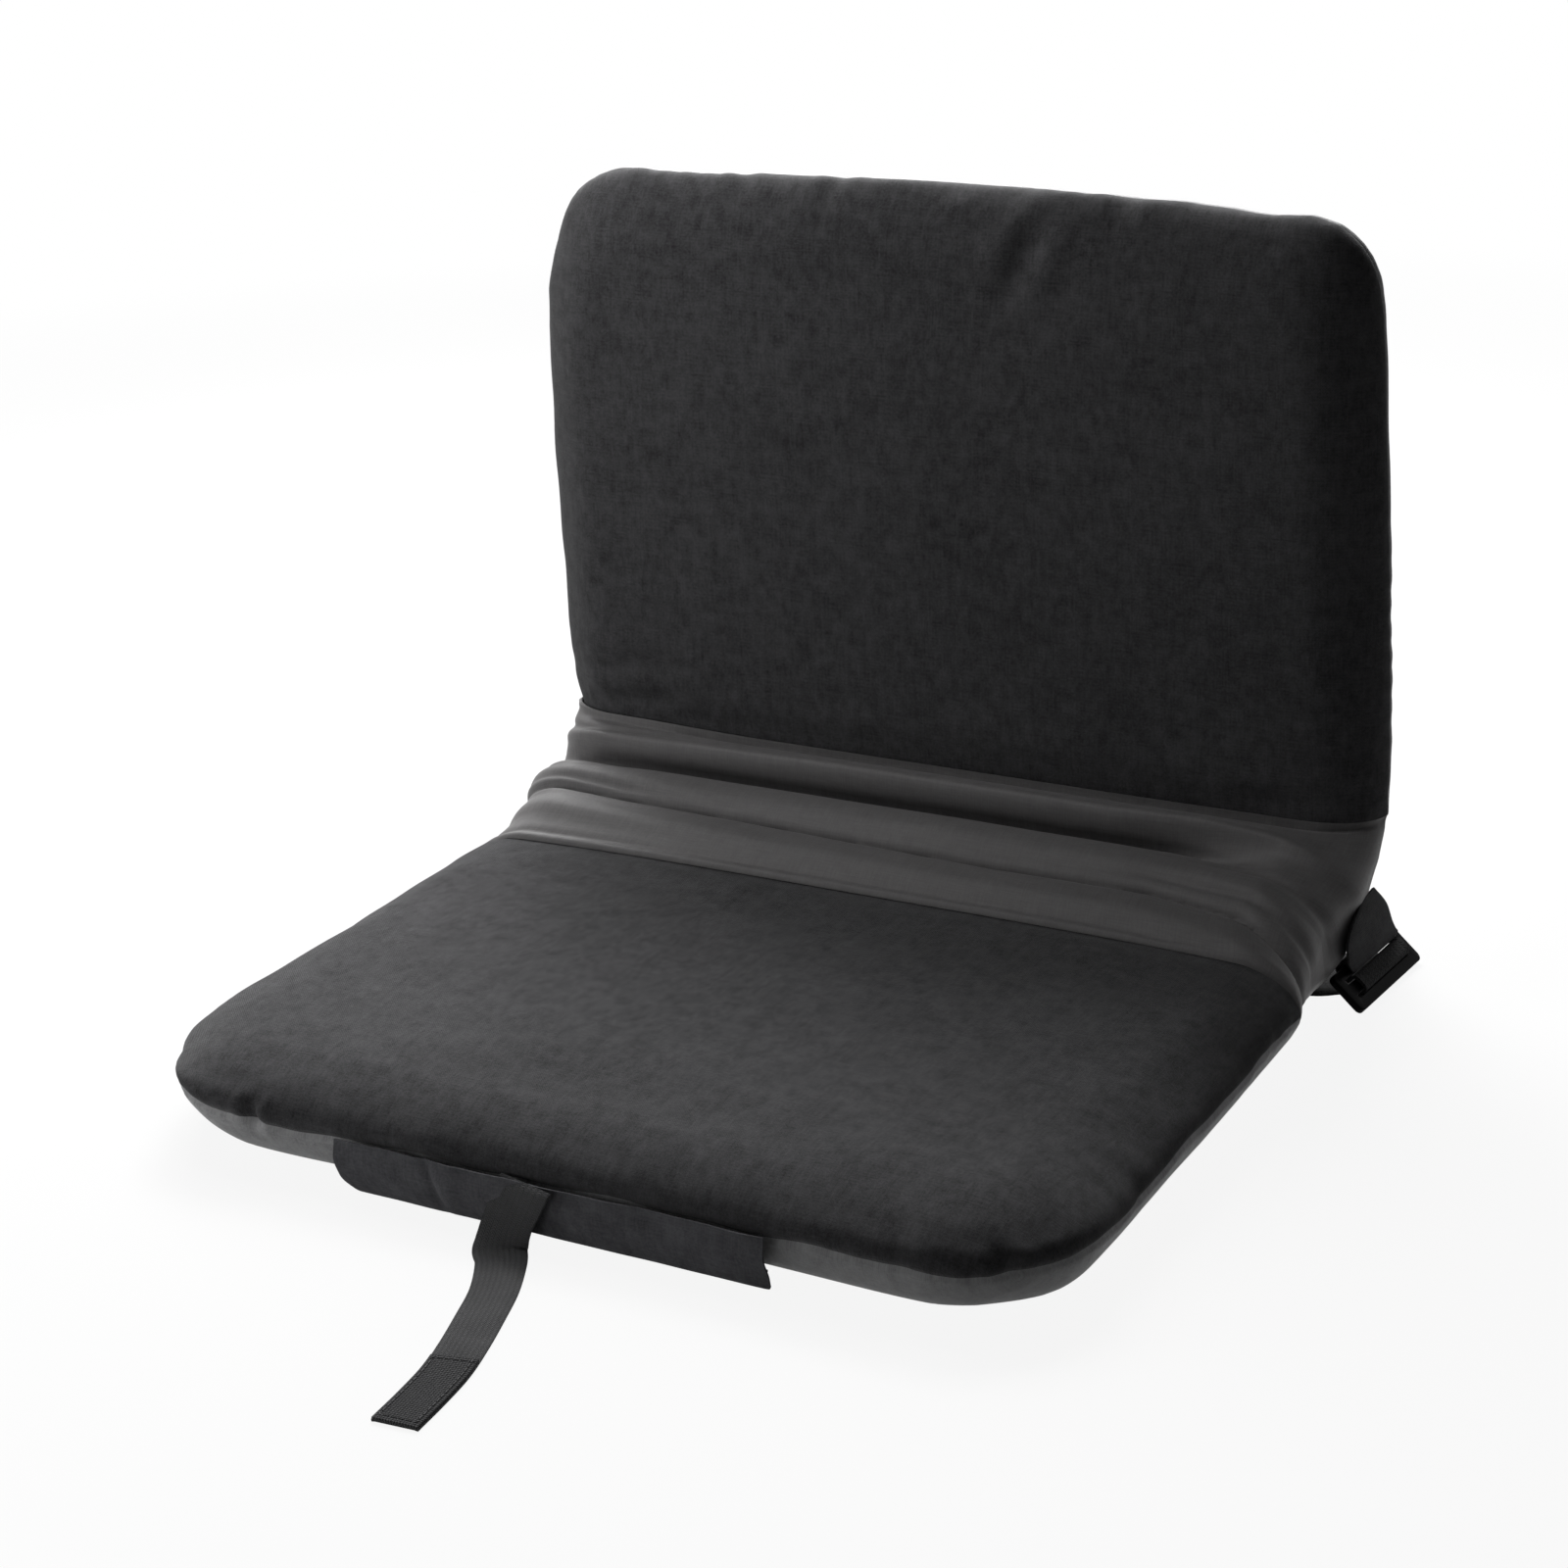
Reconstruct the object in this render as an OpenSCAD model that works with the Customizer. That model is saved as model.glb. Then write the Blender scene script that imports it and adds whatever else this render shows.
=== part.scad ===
// Folding stadium seat, opened out. Millimetres.
// X runs across the seat, -Y is the front, Z is up, and the floor is at Z = 0.
// Each half is drawn in its own frame: x across, y from the hinge end to the free end, z from the
// outer face to the face that the sitter touches. seat_place() and back_place() set it down.

/* [Pads] */
// Width of the seat pad
seat_w = 430; // [380:1:480]
// How much narrower the back pad is on each side
back_narrow = 3; // [1:0.5:5]
// Length of each pad, hinge end to free end
pad_l = 274; // [250:1:300]
// Thickness of the seat pad
pad_t = 50; // [46:1:60]
// Thickness of the back pad
back_t = 50; // [46:1:60]
// Height of the seam round the seat
seat_seam = 25; // [23:0.5:27]
// Height of the seam round the back, from its rear face
back_seam = 23; // [22:0.5:26]
// Corner radius of the seat, seen from above
seat_corner_r = 55; // [48:1:64]
// Corner radius of the back
back_corner_r = 50; // [46:1:60]
// How far in from the edge the rolled edge of the cover ends
roll_in = 30; // [22:1:34]
// Rise of the crown over the rolled edge
crown_h = 3.5; // [1:0.5:6]
// How far the sides are drawn in between the corners
draw_in = 3; // [0:0.5:5]
// How far in the flat of the underside starts
bevel_in = 21; // [16:1:24]
// Thickness of the cover cloth
cloth_t = 1.2; // [0.9:0.1:1.6]
// Space between the folded pads
fold_gap = 1; // [0.6:0.1:3]

/* [Frame] */
// Diameter of the frame tubes
tube_d = 16; // [14:0.5:17]
// Wall of the frame tubes
tube_wall = 1.5; // [1:0.1:2]
// Height of the tube centres over the outer face
tube_z = 14; // [13:0.5:15]
// Bend radius of the frame tubes, at their centres
bend_r = 40; // [36:1:46]
// Distance from the seat's sides to the centres of its rails
rail_in = 31; // [30:1:38]
// Distance from the free end to the bent part's centre line
tube_end_in = 25; // [22:1:32]
// Distance of the rails' cut ends inside the pad
rail_start = 7; // [5:1:10]
// Diameter of the cross tubes
cross_d = 12; // [10:0.5:14]
// Place of the cross tubes from the hinge end
cross_at = 72; // [66:1:90]
// Thickness of the boards
board_t = 4; // [3:0.5:6]
// Shank diameter of the board screws
screw_d = 4; // [3:0.5:5]

/* [Hinge] */
// Distance from the pads' ends to the hinge line
hinge_setback = 57; // [54:1:64]
// Height of the hinge line
hinge_z = 22; // [21:0.5:24]
// Thickness of the hinge plates
plate_t = 3; // [2.5:0.1:4]
// Radius of the plates' eyes
eye_r = 14; // [12:0.5:15]
// Thickness of the channels' flanges
flange_t = 2.5; // [1.5:0.1:2.8]
// Length of the channels that hold the rails
channel_l = 43; // [40:1:50]
// Diameter of the pivot rivets
pivot_d = 8; // [6:0.5:9]
// Diameter of the plate rivets
rivet_d = 5; // [4:0.5:6]
// Thickness of the pivot washers
washer_t = 0.8; // [0.5:0.1:1.2]
// Diameter of the stop pins
stop_d = 6; // [5:0.5:7]

/* [Straps] */
// Width of the closing strap
strap_w = 20; // [16:1:26]
// Reach of the closing strap in front of the seam
strap_reach = 136; // [110:1:160]
// Thickness of the closing strap
strap_t = 1.1; // [0.8:0.1:1.6]
// Length of the hook tape
hook_l = 30; // [22:1:40]
// Width of the carry strap
web_w = 50; // [38:1:52]
// Thickness of the carry strap
web_t = 1.4; // [1:0.1:1.6]
// Length of the slide buckle
buckle_l = 68; // [64:1:74]
// Width of the slide buckle
buckle_w = 21; // [20:0.5:24]
// Thickness of the slide buckle
buckle_t = 3.6; // [3:0.1:4.5]

/* [Pocket] */
// Length of the pocket
pocket_l = 205; // [170:1:230]
// Height of the pocket's mouth over the floor
pocket_h = 22; // [20:0.5:23]
// Thickness of the pocket cloth
pocket_t = 1; // [0.8:0.1:1.2]
// Length of the loop patch
patch_l = 60; // [45:1:80]
// Width of the loop patch
patch_w = 50; // [35:1:70]

/* [Hidden] */
$fn = 48;

// Clearances and the overrun that serves all cuts
fit_gap = 0.05;
rivet_hole_r = rivet_d / 2 + fit_gap;
pivot_hole_r = pivot_d / 2 + fit_gap;
soft_gap = 0.3;
seat_gap = 0.1;
cut_over = 1;

// Places that follow from the sizes
seat_front = 175;
back_w = seat_w - 2 * back_narrow;
seat_rail_x = seat_w / 2 - rail_in;
strap_share = 0.0465;
strap_x = -seat_w * strap_share;
hinge_y = pad_l - seat_front + hinge_setback;
seat_rear = hinge_y - hinge_setback;
back_front = hinge_y + pad_t + fold_gap - hinge_z;
back_rear = back_front + back_t;
back_bottom = hinge_z + hinge_setback;
seat_hinge_h = hinge_z;
back_hinge_h = back_rear - hinge_y;
tube_r = tube_d / 2;
seat_web_in = seat_rail_x + tube_r;
seat_web_out = seat_web_in + plate_t;
back_web_out = seat_web_in - washer_t;
back_web_in = back_web_out - plate_t;
back_rail_x = back_web_in - tube_r;
board_z = tube_z + tube_r;
foam_z = board_z + board_t + seat_gap;

// Where each half stands
module seat_place() {
  translate([0, seat_rear, 0]) rotate([0, 0, 180]) children();
}
module back_place() {
  translate([0, back_rear, back_bottom]) rotate([90, 0, 0]) children();
}
// A plate outline drawn in the side view, thickened across the seat from x0
module side_plate(x0, t) {
  translate([x0, 0, 0]) rotate([90, 0, 90]) linear_extrude(t) children();
}
// A round bar across the seat
module across(x0, x1, r, y, z) {
  translate([x0, y, z]) rotate([0, 90, 0]) cylinder(h = x1 - x0, r = r);
}

// Cushion skins: rings round an open outline that runs from the hinge end, along one side, round
// the free end and back along the other side
side_steps = 7;
corner_steps = 6;
end_steps = 10;
outline_steps = 2 * side_steps + 2 * corner_steps + end_steps;
roll_steps = 5;
inner_shares = [0.12, 0.3, 0.55, 0.8];
ring_count = roll_steps + 1 + len(inner_shares);

// One point of the outline and its outward direction: [x, y, nx, ny]
function outline_point(k, hw, l, r) =
  k < side_steps ? [-hw, (l - r) * k / side_steps, -1, 0] :
  k <= side_steps + corner_steps ?
    let (a = 180 - 90 * (k - side_steps) / corner_steps)
    [-(hw - r) + r * cos(a), l - r + r * sin(a), cos(a), sin(a)] :
  k < side_steps + corner_steps + end_steps ?
    [-(hw - r) + 2 * (hw - r) * (k - side_steps - corner_steps) / end_steps, l, 0, 1] :
  k <= side_steps + 2 * corner_steps + end_steps ?
    let (a = 90 - 90 * (k - side_steps - corner_steps - end_steps) / corner_steps)
    [hw - r + r * cos(a), l - r + r * sin(a), cos(a), sin(a)] :
  [hw, (l - r) * (outline_steps - k) / side_steps, 1, 0];

// How much of draw_in acts at a point: most between the corners, none at them
function drawn(p, hw, l, r) =
  (abs(p[2]) > 0.99 ? sin(180 * min(1, p[1] / (l - r))) :
  abs(p[3]) > 0.99 ? cos(90 * min(1, abs(p[0]) / (hw - r))) : 0) * draw_in;

// Height of the crown over the end of the roll
function crown_at(x, y, hw, l, c) = c * (1 - pow(abs(x) / hw, 4)) * (1 - pow(abs(y) / l, 6));

// Ring q of a skin whose rim is at z0 and whose roll rises h over it
function skin_ring(q, hw, l, r, roll, z0, h, c) = [
  for (k = [0 : outline_steps])
    let (p = outline_point(k, hw, l, r), d = drawn(p, hw, l, r))
    let (ex = p[0] - p[2] * d, ey = p[1] - p[3] * d)
    q <= roll_steps ?
      let (a = 90 * q / roll_steps, inset = roll * (1 - cos(a)))
      let (x = ex - p[2] * inset, y = ey - p[3] * inset)
      [x, y, z0 + h * sin(a) + crown_at(x, y, hw, l, c) * sin(a)] :
      let (s = 1 - inner_shares[q - roll_steps - 1])
      let (x = (ex - p[2] * roll) * s, y = (ey - p[3] * roll) * s)
      [x, y, z0 + h + crown_at(x, y, hw, l, c)]
];
function skin_points(hw, l, r, roll, z0, h, c) = concat(
  [for (q = [0 : ring_count - 1]) each skin_ring(q, hw, l, r, roll, z0, h, c)],
  [[0, 0, z0 + h + c]]
);
// The same plan points, laid flat at height z
function flat_points(points, z) = [for (p = points) [p[0], p[1], z]];

// A closed solid between two skins with the same number of rings
module between_skins(upper, lower) {
  row = outline_steps + 1;
  n = ring_count * row + 1;
  top = n - 1;
  low = n;
  surface = concat(
    [for (q = [0 : ring_count - 2], k = [0 : outline_steps - 1]) each [
      [q * row + k, (q + 1) * row + k + 1, (q + 1) * row + k],
      [q * row + k, q * row + k + 1, (q + 1) * row + k + 1]
    ]],
    [for (k = [0 : outline_steps - 1]) [(ring_count - 1) * row + k, (ring_count - 1) * row + k + 1, top]]
  );
  under = [for (f = surface) [f[0] + low, f[2] + low, f[1] + low]];
  rim = [for (k = [0 : outline_steps - 1]) each [
    [k, k + low, k + 1],
    [k + 1, k + low, k + 1 + low]
  ]];
  ends = [for (q = [0 : ring_count - 1]) each
    let (a = q * row, b = q == ring_count - 1 ? top : (q + 1) * row)
    let (c = a + outline_steps, d = q == ring_count - 1 ? top : b + outline_steps)
    [
      [a, b, b + low], [a, b + low, a + low],
      [c, d + low, d], [c, c + low, d + low]
    ]
  ];
  polyhedron(points = concat(upper, lower), faces = concat(surface, under, rim, ends));
}

// A sheet between two grids of points, rows of equal length
module between_grids(upper, lower) {
  rows = len(upper);
  row = len(upper[0]);
  low = rows * row;
  surface = [for (i = [0 : rows - 2], j = [0 : row - 2]) each [
    [i * row + j, (i + 1) * row + j, (i + 1) * row + j + 1],
    [i * row + j, (i + 1) * row + j + 1, i * row + j + 1]
  ]];
  under = [for (f = surface) [f[0] + low, f[2] + low, f[1] + low]];
  long_edges = [for (i = [0 : rows - 2]) each
    let (a = i * row, b = (i + 1) * row, c = a + row - 1, d = b + row - 1)
    [[a, a + low, b + low], [a, b + low, b], [c, d, d + low], [c, d + low, c + low]]
  ];
  short_edges = [for (j = [0 : row - 2]) each
    let (a = j, b = j + 1, c = (rows - 1) * row + j, d = c + 1)
    [[a, b, b + low], [a, b + low, a + low], [c, c + low, d + low], [c, d + low, d]]
  ];
  polyhedron(
    points = concat([for (r = upper) each r], [for (r = lower) each r]),
    faces = concat(surface, under, long_edges, short_edges)
  );
}

// Cover: an outer skin and the same skin one cloth thickness inside
module pad_cover(w, t, seam, r) {
  outer = skin_points(w / 2, pad_l, r, roll_in, seam, t - seam - crown_h, crown_h);
  inner = skin_points(
    w / 2 - cloth_t, pad_l - cloth_t, r - cloth_t, roll_in, seam, t - seam - crown_h - cloth_t, crown_h
  );
  between_skins(outer, inner);
}

// Foam: a crowned slab on the board, clear of the cover all round
foam_start = 13.5;
module pad_foam(w, t, seam, r) {
  side = cloth_t + soft_gap + foam_side;
  top = skin_points(
    w / 2 - side, pad_l - foam_start - side, r - side, roll_in - foam_side, foam_z + foam_rim,
    t - crown_h - cloth_t - soft_gap - foam_z - foam_rim, crown_h
  );
  translate([0, foam_start, 0]) between_skins(top, flat_points(top, foam_z));
}
foam_side = 3;
foam_rim = 1;

// Underside: a flat sheet whose edge rises in a soft bevel to the seam, open at the hinge end
bevel_shares = [
  [1, 0], [0.82, 0.06], [0.64, 0.16], [0.47, 0.3], [0.3, 0.48], [0.14, 0.7], [0.04, 0.86], [0, 1]
];
function bevel_line(seam) = [for (s = bevel_shares) [s[0] * bevel_in, s[1] * seam]];
// The line one thickness inside, each point moved square to its neighbours
function inside_line(line, t) = [
  for (i = [0 : len(line) - 1])
    i == 0 ? [line[0][0], t] :
    i == len(line) - 1 ? [line[i][0] + t, line[i][1]] :
    let (d = line[i + 1] - line[i - 1], n = [-d[1], d[0]] / norm(d))
    line[i] - n * t
];
function reversed(list) = [for (i = [len(list) - 1 : -1 : 0]) list[i]];
module bevel_section(seam) {
  line = bevel_line(seam);
  polygon(concat(line, reversed(inside_line(line, cloth_t))));
}
module tray(w, seam, r, tail) {
  flat_w = w - 2 * bevel_in;
  flat_r = r - bevel_in;
  // the flat
  translate([-flat_w / 2, 0, 0]) cube([flat_w, pad_l - r, cloth_t]);
  if (tail > 0) {
    tail_w = flat_w - 2 * (waist_in + cloth_t);
    translate([-tail_w / 2, -tail, 0]) cube([tail_w, tail + cut_over, cloth_t]);
  }
  translate([-flat_w / 2 + flat_r, pad_l - r, 0]) cube([flat_w - 2 * flat_r, flat_r, cloth_t]);
  for (side = [-1, 1])
    translate([side * (w / 2 - r), pad_l - r, 0])
      rotate([0, 0, side > 0 ? 0 : 90]) rotate_extrude(angle = 90) {
        square([flat_r, cloth_t]);
        translate([r, 0]) mirror([1, 0]) bevel_section(seam);
      }
  // the sides and the free end
  for (side = [0, 1])
    mirror([side, 0, 0]) translate([w / 2, pad_l - r, 0]) rotate([90, 0, 0])
      linear_extrude(pad_l - r) mirror([1, 0]) bevel_section(seam);
  translate([-(w / 2 - r), pad_l, 0]) rotate([90, 0, 90])
    linear_extrude(w - 2 * r) mirror([1, 0]) bevel_section(seam);
}

// Frame tube: two rails, two bends and the bar at the free end
module bent_tube(x, r) {
  y1 = pad_l - tube_end_in;
  for (side = [-1, 1]) {
    translate([side * x, y1 - bend_r, tube_z]) rotate([90, 0, 0])
      cylinder(h = y1 - bend_r - rail_start, r = r);
    translate([side * (x - bend_r), y1 - bend_r, tube_z]) rotate([0, 0, side > 0 ? 0 : 90])
      rotate_extrude(angle = 90) translate([bend_r, 0]) circle(r = r);
  }
  across(-(x - bend_r), x - bend_r, r, y1, tube_z);
}
module frame_tube(x) {
  difference() {
    bent_tube(x, tube_r);
    bent_tube(x, tube_r - tube_wall);
    // the rails are open at the hinge end
    for (side = [-1, 1]) {
      translate([side * x, rail_start + cut_over, tube_z]) rotate([90, 0, 0])
        cylinder(h = 2 * cut_over, r = tube_r - tube_wall);
      for (y = rivet_places)
        across(side * x - tube_r - cut_over, side * x + tube_r + cut_over, rivet_hole_r, y, tube_z);
      for (y = screw_places)
        translate([side * x, y, tube_z]) cylinder(h = tube_r + cut_over, r = screw_d / 2 + fit_gap);
    }
  }
}
module cross_tube(x) {
  difference() {
    across(-x, x, cross_d / 2, cross_at, tube_z);
    across(-x - cut_over, x + cut_over, cross_d / 2 - tube_wall, cross_at, tube_z);
    for (side = [-1, 1])
      translate([side * x, cross_at + cross_d, tube_z]) rotate([90, 0, 0])
        cylinder(h = 2 * cross_d, r = tube_r + fit_gap);
  }
}

// Board: on the tubes, notched round the hinge channels
board_end_in = tube_end_in - tube_r;
board_over = 4;
notch_l = rail_start + channel_l + 2;
screw_shares = [0.33, 0.58, 0.83];
screw_places = [for (s = screw_shares) s * pad_l];
screw_head = 2.2;
module board(x) {
  hw = x + board_over;
  y1 = pad_l - board_end_in;
  r = bend_r + board_over;
  difference() {
    translate([0, 0, board_z]) linear_extrude(board_t) {
      translate([-hw, foam_start]) square([2 * hw, y1 - r - foam_start]);
      translate([-(hw - r), foam_start]) square([2 * (hw - r), y1 - foam_start]);
      for (side = [-1, 1]) translate([side * (hw - r), y1 - r]) circle(r = r);
    }
    for (side = [0, 1]) mirror([side, 0, 0])
      translate([x - board_over, foam_start - cut_over, board_z - cut_over])
        cube([2 * board_over + cut_over, notch_l + cut_over - foam_start, board_t + 2 * cut_over]);
    for (side = [-1, 1], y = screw_places) translate([side * x, y, board_z]) {
      translate([0, 0, -cut_over]) cylinder(h = board_t + 2 * cut_over, r = screw_d / 2 + fit_gap);
      translate([0, 0, board_t - screw_head])
        cylinder(h = screw_head, r1 = screw_d / 2 + fit_gap, r2 = screw_d + fit_gap);
    }
  }
}
screw_tip = 2;
module board_screws(x) {
  for (side = [-1, 1], y = screw_places) translate([side * x, y, board_z]) {
    translate([0, 0, board_t - screw_head]) cylinder(h = screw_head, r1 = screw_d / 2, r2 = screw_d);
    translate([0, 0, -tube_wall - screw_tip])
      cylinder(h = board_t - screw_head + tube_wall + screw_tip, r = screw_d / 2);
  }
}

// Hinge plates
rivet_shares = [0.28, 0.74];
rivet_places = [for (s = rivet_shares) rail_start + s * channel_l];
rivet_head_r = rivet_d * 0.85;
rivet_head_t = rivet_d * 0.32;
link_y = rail_start + rivet_d / 2;
link_r = tube_r + flange_t;
// Outline of a link: two discs and the strip between their common tangents
module link(a, ra, b, rb) {
  d = norm(b - a);
  f = atan2(b[1] - a[1], b[0] - a[0]);
  g = acos((ra - rb) / d);
  translate(a) circle(r = ra);
  translate(b) circle(r = rb);
  polygon([
    a + ra * [cos(f + g), sin(f + g)], a + ra * [cos(f - g), sin(f - g)],
    b + rb * [cos(f - g), sin(f - g)], b + rb * [cos(f + g), sin(f + g)]
  ]);
}
// Where the stop pin stands: beside the rear edge of the back plate's arm, in the seat's frame
arm_from = [-hinge_setback, back_hinge_h];
arm_to = [link_y, tube_z];
arm_turn = atan2(arm_to[1] - arm_from[1], arm_to[0] - arm_from[0]);
arm_lean = acos((eye_r - link_r) / norm(arm_to - arm_from));
stop_along = eye_r;
function turned(v, a) = [v[0] * cos(a) - v[1] * sin(a), v[0] * sin(a) + v[1] * cos(a)];
// In the back's frame, from the pivot
stop_back = turned([eye_r + stop_d / 2 + seat_gap, 0], arm_turn - arm_lean)
  + turned([stop_along, 0], arm_turn - arm_lean + 90);
// The back's frame is y along +Z and z along -Y; the seat's is y along -Y and z along +Z
stop_at = [-hinge_setback + stop_back[1], hinge_z + stop_back[0]];
lobe_r = stop_d / 2 + plate_t;

// The channel round a rail: web outside the tube, flanges over and under it
module channel(rail, web_in) {
  translate([web_in, rail_start, tube_z - link_r]) cube([plate_t, channel_l, 2 * link_r]);
  for (z = [tube_z - link_r, tube_z + tube_r])
    translate([rail, rail_start, z]) cube([web_in - rail + plate_t, channel_l, flange_t]);
}
module plate_holes(web_in) {
  for (y = rivet_places)
    across(web_in - cut_over, web_in + plate_t + cut_over, rivet_hole_r, y, tube_z);
}
module hinge_plate_seat(side) {
  seat_place() mirror([side, 0, 0]) difference() {
    union() {
      channel(seat_rail_x, seat_web_in);
      side_plate(seat_web_in, plate_t) link(arm_to, link_r, [-hinge_setback, seat_hinge_h], eye_r);
      side_plate(seat_web_in, plate_t) link([-hinge_setback, seat_hinge_h], eye_r, stop_at, lobe_r);
    }
    plate_holes(seat_web_in);
    across(seat_web_in - cut_over, seat_web_out + cut_over, pivot_hole_r, -hinge_setback, seat_hinge_h);
    across(seat_web_in - cut_over, seat_web_out + cut_over, stop_d / 2 + fit_gap, stop_at[0], stop_at[1]);
  }
}
module hinge_plate_back(side) {
  back_place() mirror([side, 0, 0]) difference() {
    union() {
      channel(back_rail_x, back_web_in);
      side_plate(back_web_in, plate_t) link(arm_to, link_r, arm_from, eye_r);
    }
    plate_holes(back_web_in);
    across(back_web_in - cut_over, back_web_out + cut_over, pivot_hole_r, -hinge_setback, back_hinge_h);
  }
}
// Rivets through a channel and its rail, with a head at each end
module rail_rivets(rail, web_out) {
  for (side = [0, 1], y = rivet_places) mirror([side, 0, 0]) {
    across(rail - tube_r, web_out, rivet_d / 2, y, tube_z);
    across(web_out, web_out + rivet_head_t, rivet_head_r, y, tube_z);
    across(rail - tube_r - rivet_head_t, rail - tube_r, rivet_head_r, y, tube_z);
  }
}
pivot_head_r = pivot_d * 0.94;
pivot_head_t = pivot_d * 0.3;
module pivot_rivets() {
  color("silver") seat_place() for (side = [0, 1]) mirror([side, 0, 0]) {
    across(back_web_in - fit_gap, seat_web_out, pivot_d / 2, -hinge_setback, seat_hinge_h);
    across(seat_web_out, seat_web_out + pivot_head_t, pivot_head_r, -hinge_setback, seat_hinge_h);
    across(
      back_web_in - fit_gap - pivot_head_t, back_web_in - fit_gap, pivot_head_r, -hinge_setback, seat_hinge_h
    );
  }
}
module pivot_washers() {
  color("white") seat_place() for (side = [0, 1]) mirror([side, 0, 0]) difference() {
    across(back_web_out + fit_gap, seat_web_in, pivot_d * 1.25, -hinge_setback, seat_hinge_h);
    across(back_web_out - cut_over, seat_web_in + cut_over, pivot_hole_r, -hinge_setback, seat_hinge_h);
  }
}
stop_head_t = plate_t / 2;
module stop_pins() {
  color("silver") seat_place() for (side = [0, 1]) mirror([side, 0, 0]) {
    across(back_web_in - fit_gap, seat_web_out, stop_d / 2, stop_at[0], stop_at[1]);
    across(seat_web_out, seat_web_out + stop_head_t, stop_d * 0.8, stop_at[0], stop_at[1]);
  }
}

// Seat half
module seat_frame_tube() { color("dimgray") seat_place() frame_tube(seat_rail_x); }
module seat_cross_tube() { color("dimgray") seat_place() cross_tube(seat_rail_x); }
module seat_board() { color("burlywood") seat_place() board(seat_rail_x); }
module seat_board_screws() { color("silver") seat_place() board_screws(seat_rail_x); }
module seat_foam() {
  color("lightyellow") seat_place() pad_foam(seat_w, pad_t, seat_seam, seat_corner_r);
}
module seat_cover() {
  color([0.2, 0.2, 0.22]) seat_place() pad_cover(seat_w, pad_t, seat_seam, seat_corner_r);
}
tail_share = 0.32;
tail_l = hinge_setback * (1 + tail_share);
module seat_underside() { color("gray") seat_place() tray(seat_w, seat_seam, seat_corner_r, tail_l); }
module hinge_plate_seat_left() { color("slategray") hinge_plate_seat(0); }
module hinge_plate_seat_right() { color("slategray") hinge_plate_seat(1); }
module seat_plate_rivets() { color("silver") seat_place() rail_rivets(seat_rail_x, seat_web_out); }

// Back half
module back_frame_tube() { color("dimgray") back_place() frame_tube(back_rail_x); }
module back_cross_tube() { color("dimgray") back_place() cross_tube(back_rail_x); }
module back_board() { color("burlywood") back_place() board(back_rail_x); }
module back_board_screws() { color("silver") back_place() board_screws(back_rail_x); }
module back_foam() {
  color("lightyellow") back_place() pad_foam(back_w, back_t, back_seam, back_corner_r);
}
module back_cover_front() {
  color([0.16, 0.16, 0.18]) back_place() pad_cover(back_w, back_t, back_seam, back_corner_r);
}
module back_cover_rear() {
  color([0.25, 0.25, 0.27]) back_place() tray(back_w, back_seam, back_corner_r, 0);
}
module hinge_plate_back_left() { color("lightsteelblue") hinge_plate_back(1); }
module hinge_plate_back_right() { color("lightsteelblue") hinge_plate_back(0); }
module back_plate_rivets() { color("silver") back_place() rail_rivets(back_rail_x, back_web_out); }
patch_t = 1.5;
patch_x = strap_x;
patch_down = 30;
module back_loop_patch() {
  color([0.1, 0.1, 0.1]) back_place()
    translate([patch_x - patch_w / 2, pad_l - patch_down - patch_l, -patch_t])
      cube([patch_w, patch_l, patch_t]);
}

// Ribbon: a strip through stations, each a centre, a half width along a direction, and a normal
module ribbon(centres, sides, normals, t) {
  upper = [for (i = [0 : len(centres) - 1]) [
    centres[i] - sides[i] + normals[i] * t / 2, centres[i] + sides[i] + normals[i] * t / 2
  ]];
  lower = [for (i = [0 : len(centres) - 1]) [
    centres[i] - sides[i] - normals[i] * t / 2, centres[i] + sides[i] - normals[i] * t / 2
  ]];
  between_grids(lower, upper);
}
function unit(v) = v / norm(v);
function path_dir(pts, i) = unit(pts[min(i + 1, len(pts) - 1)] - pts[max(i - 1, 0)]);

// Closing strap: out of the pocket's mouth, down over the pocket and forward on the floor.
// Stations: [sideways, forward, up, width] as shares of strap_drift, strap_reach, mouth_z, strap_w
strap_drift = 42;
mouth_z = seat_seam + 0.08 * seat_seam;
strap_shares = [
  [0.26, 0.012, 0.97, 1.45], [0.22, 0.030, 0.84, 1.42], [0.14, 0.038, 0.55, 1.35],
  [0.07, 0.048, 0.27, 1.25], [0.06, 0.068, 0.085, 1.18], [0.10, 0.100, 0.0, 1.12],
  [0.24, 0.160, 0.0, 1.05], [0.46, 0.300, 0.0, 1.0], [0.64, 0.450, 0.0, 1.0],
  [0.79, 0.600, 0.0, 1.0], [0.90, 0.740, 0.0, 1.0], [0.96, 0.860, 0.0, 1.0], [1, 1, 0.0, 1.0]
];
strap_points = [for (s = strap_shares) [
  strap_x + s[0] * strap_drift,
  -seat_front - s[1] * strap_reach,
  strap_t / 2 + s[2] * mouth_z
]];
strap_sides = [for (i = [0 : len(strap_points) - 1])
  let (d = path_dir(strap_points, i), flat = abs(d[2]) > 0.5 ? [1, 0, 0] : [-d[1], d[0], 0])
  unit(flat) * strap_w * strap_shares[i][3] / 2
];
strap_normals = [for (i = [0 : len(strap_points) - 1])
  unit(cross(unit(strap_sides[i]), path_dir(strap_points, i)))
];
module closing_strap() {
  color([0.3, 0.3, 0.32]) ribbon(strap_points, strap_sides, -strap_normals, strap_t);
}
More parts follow.
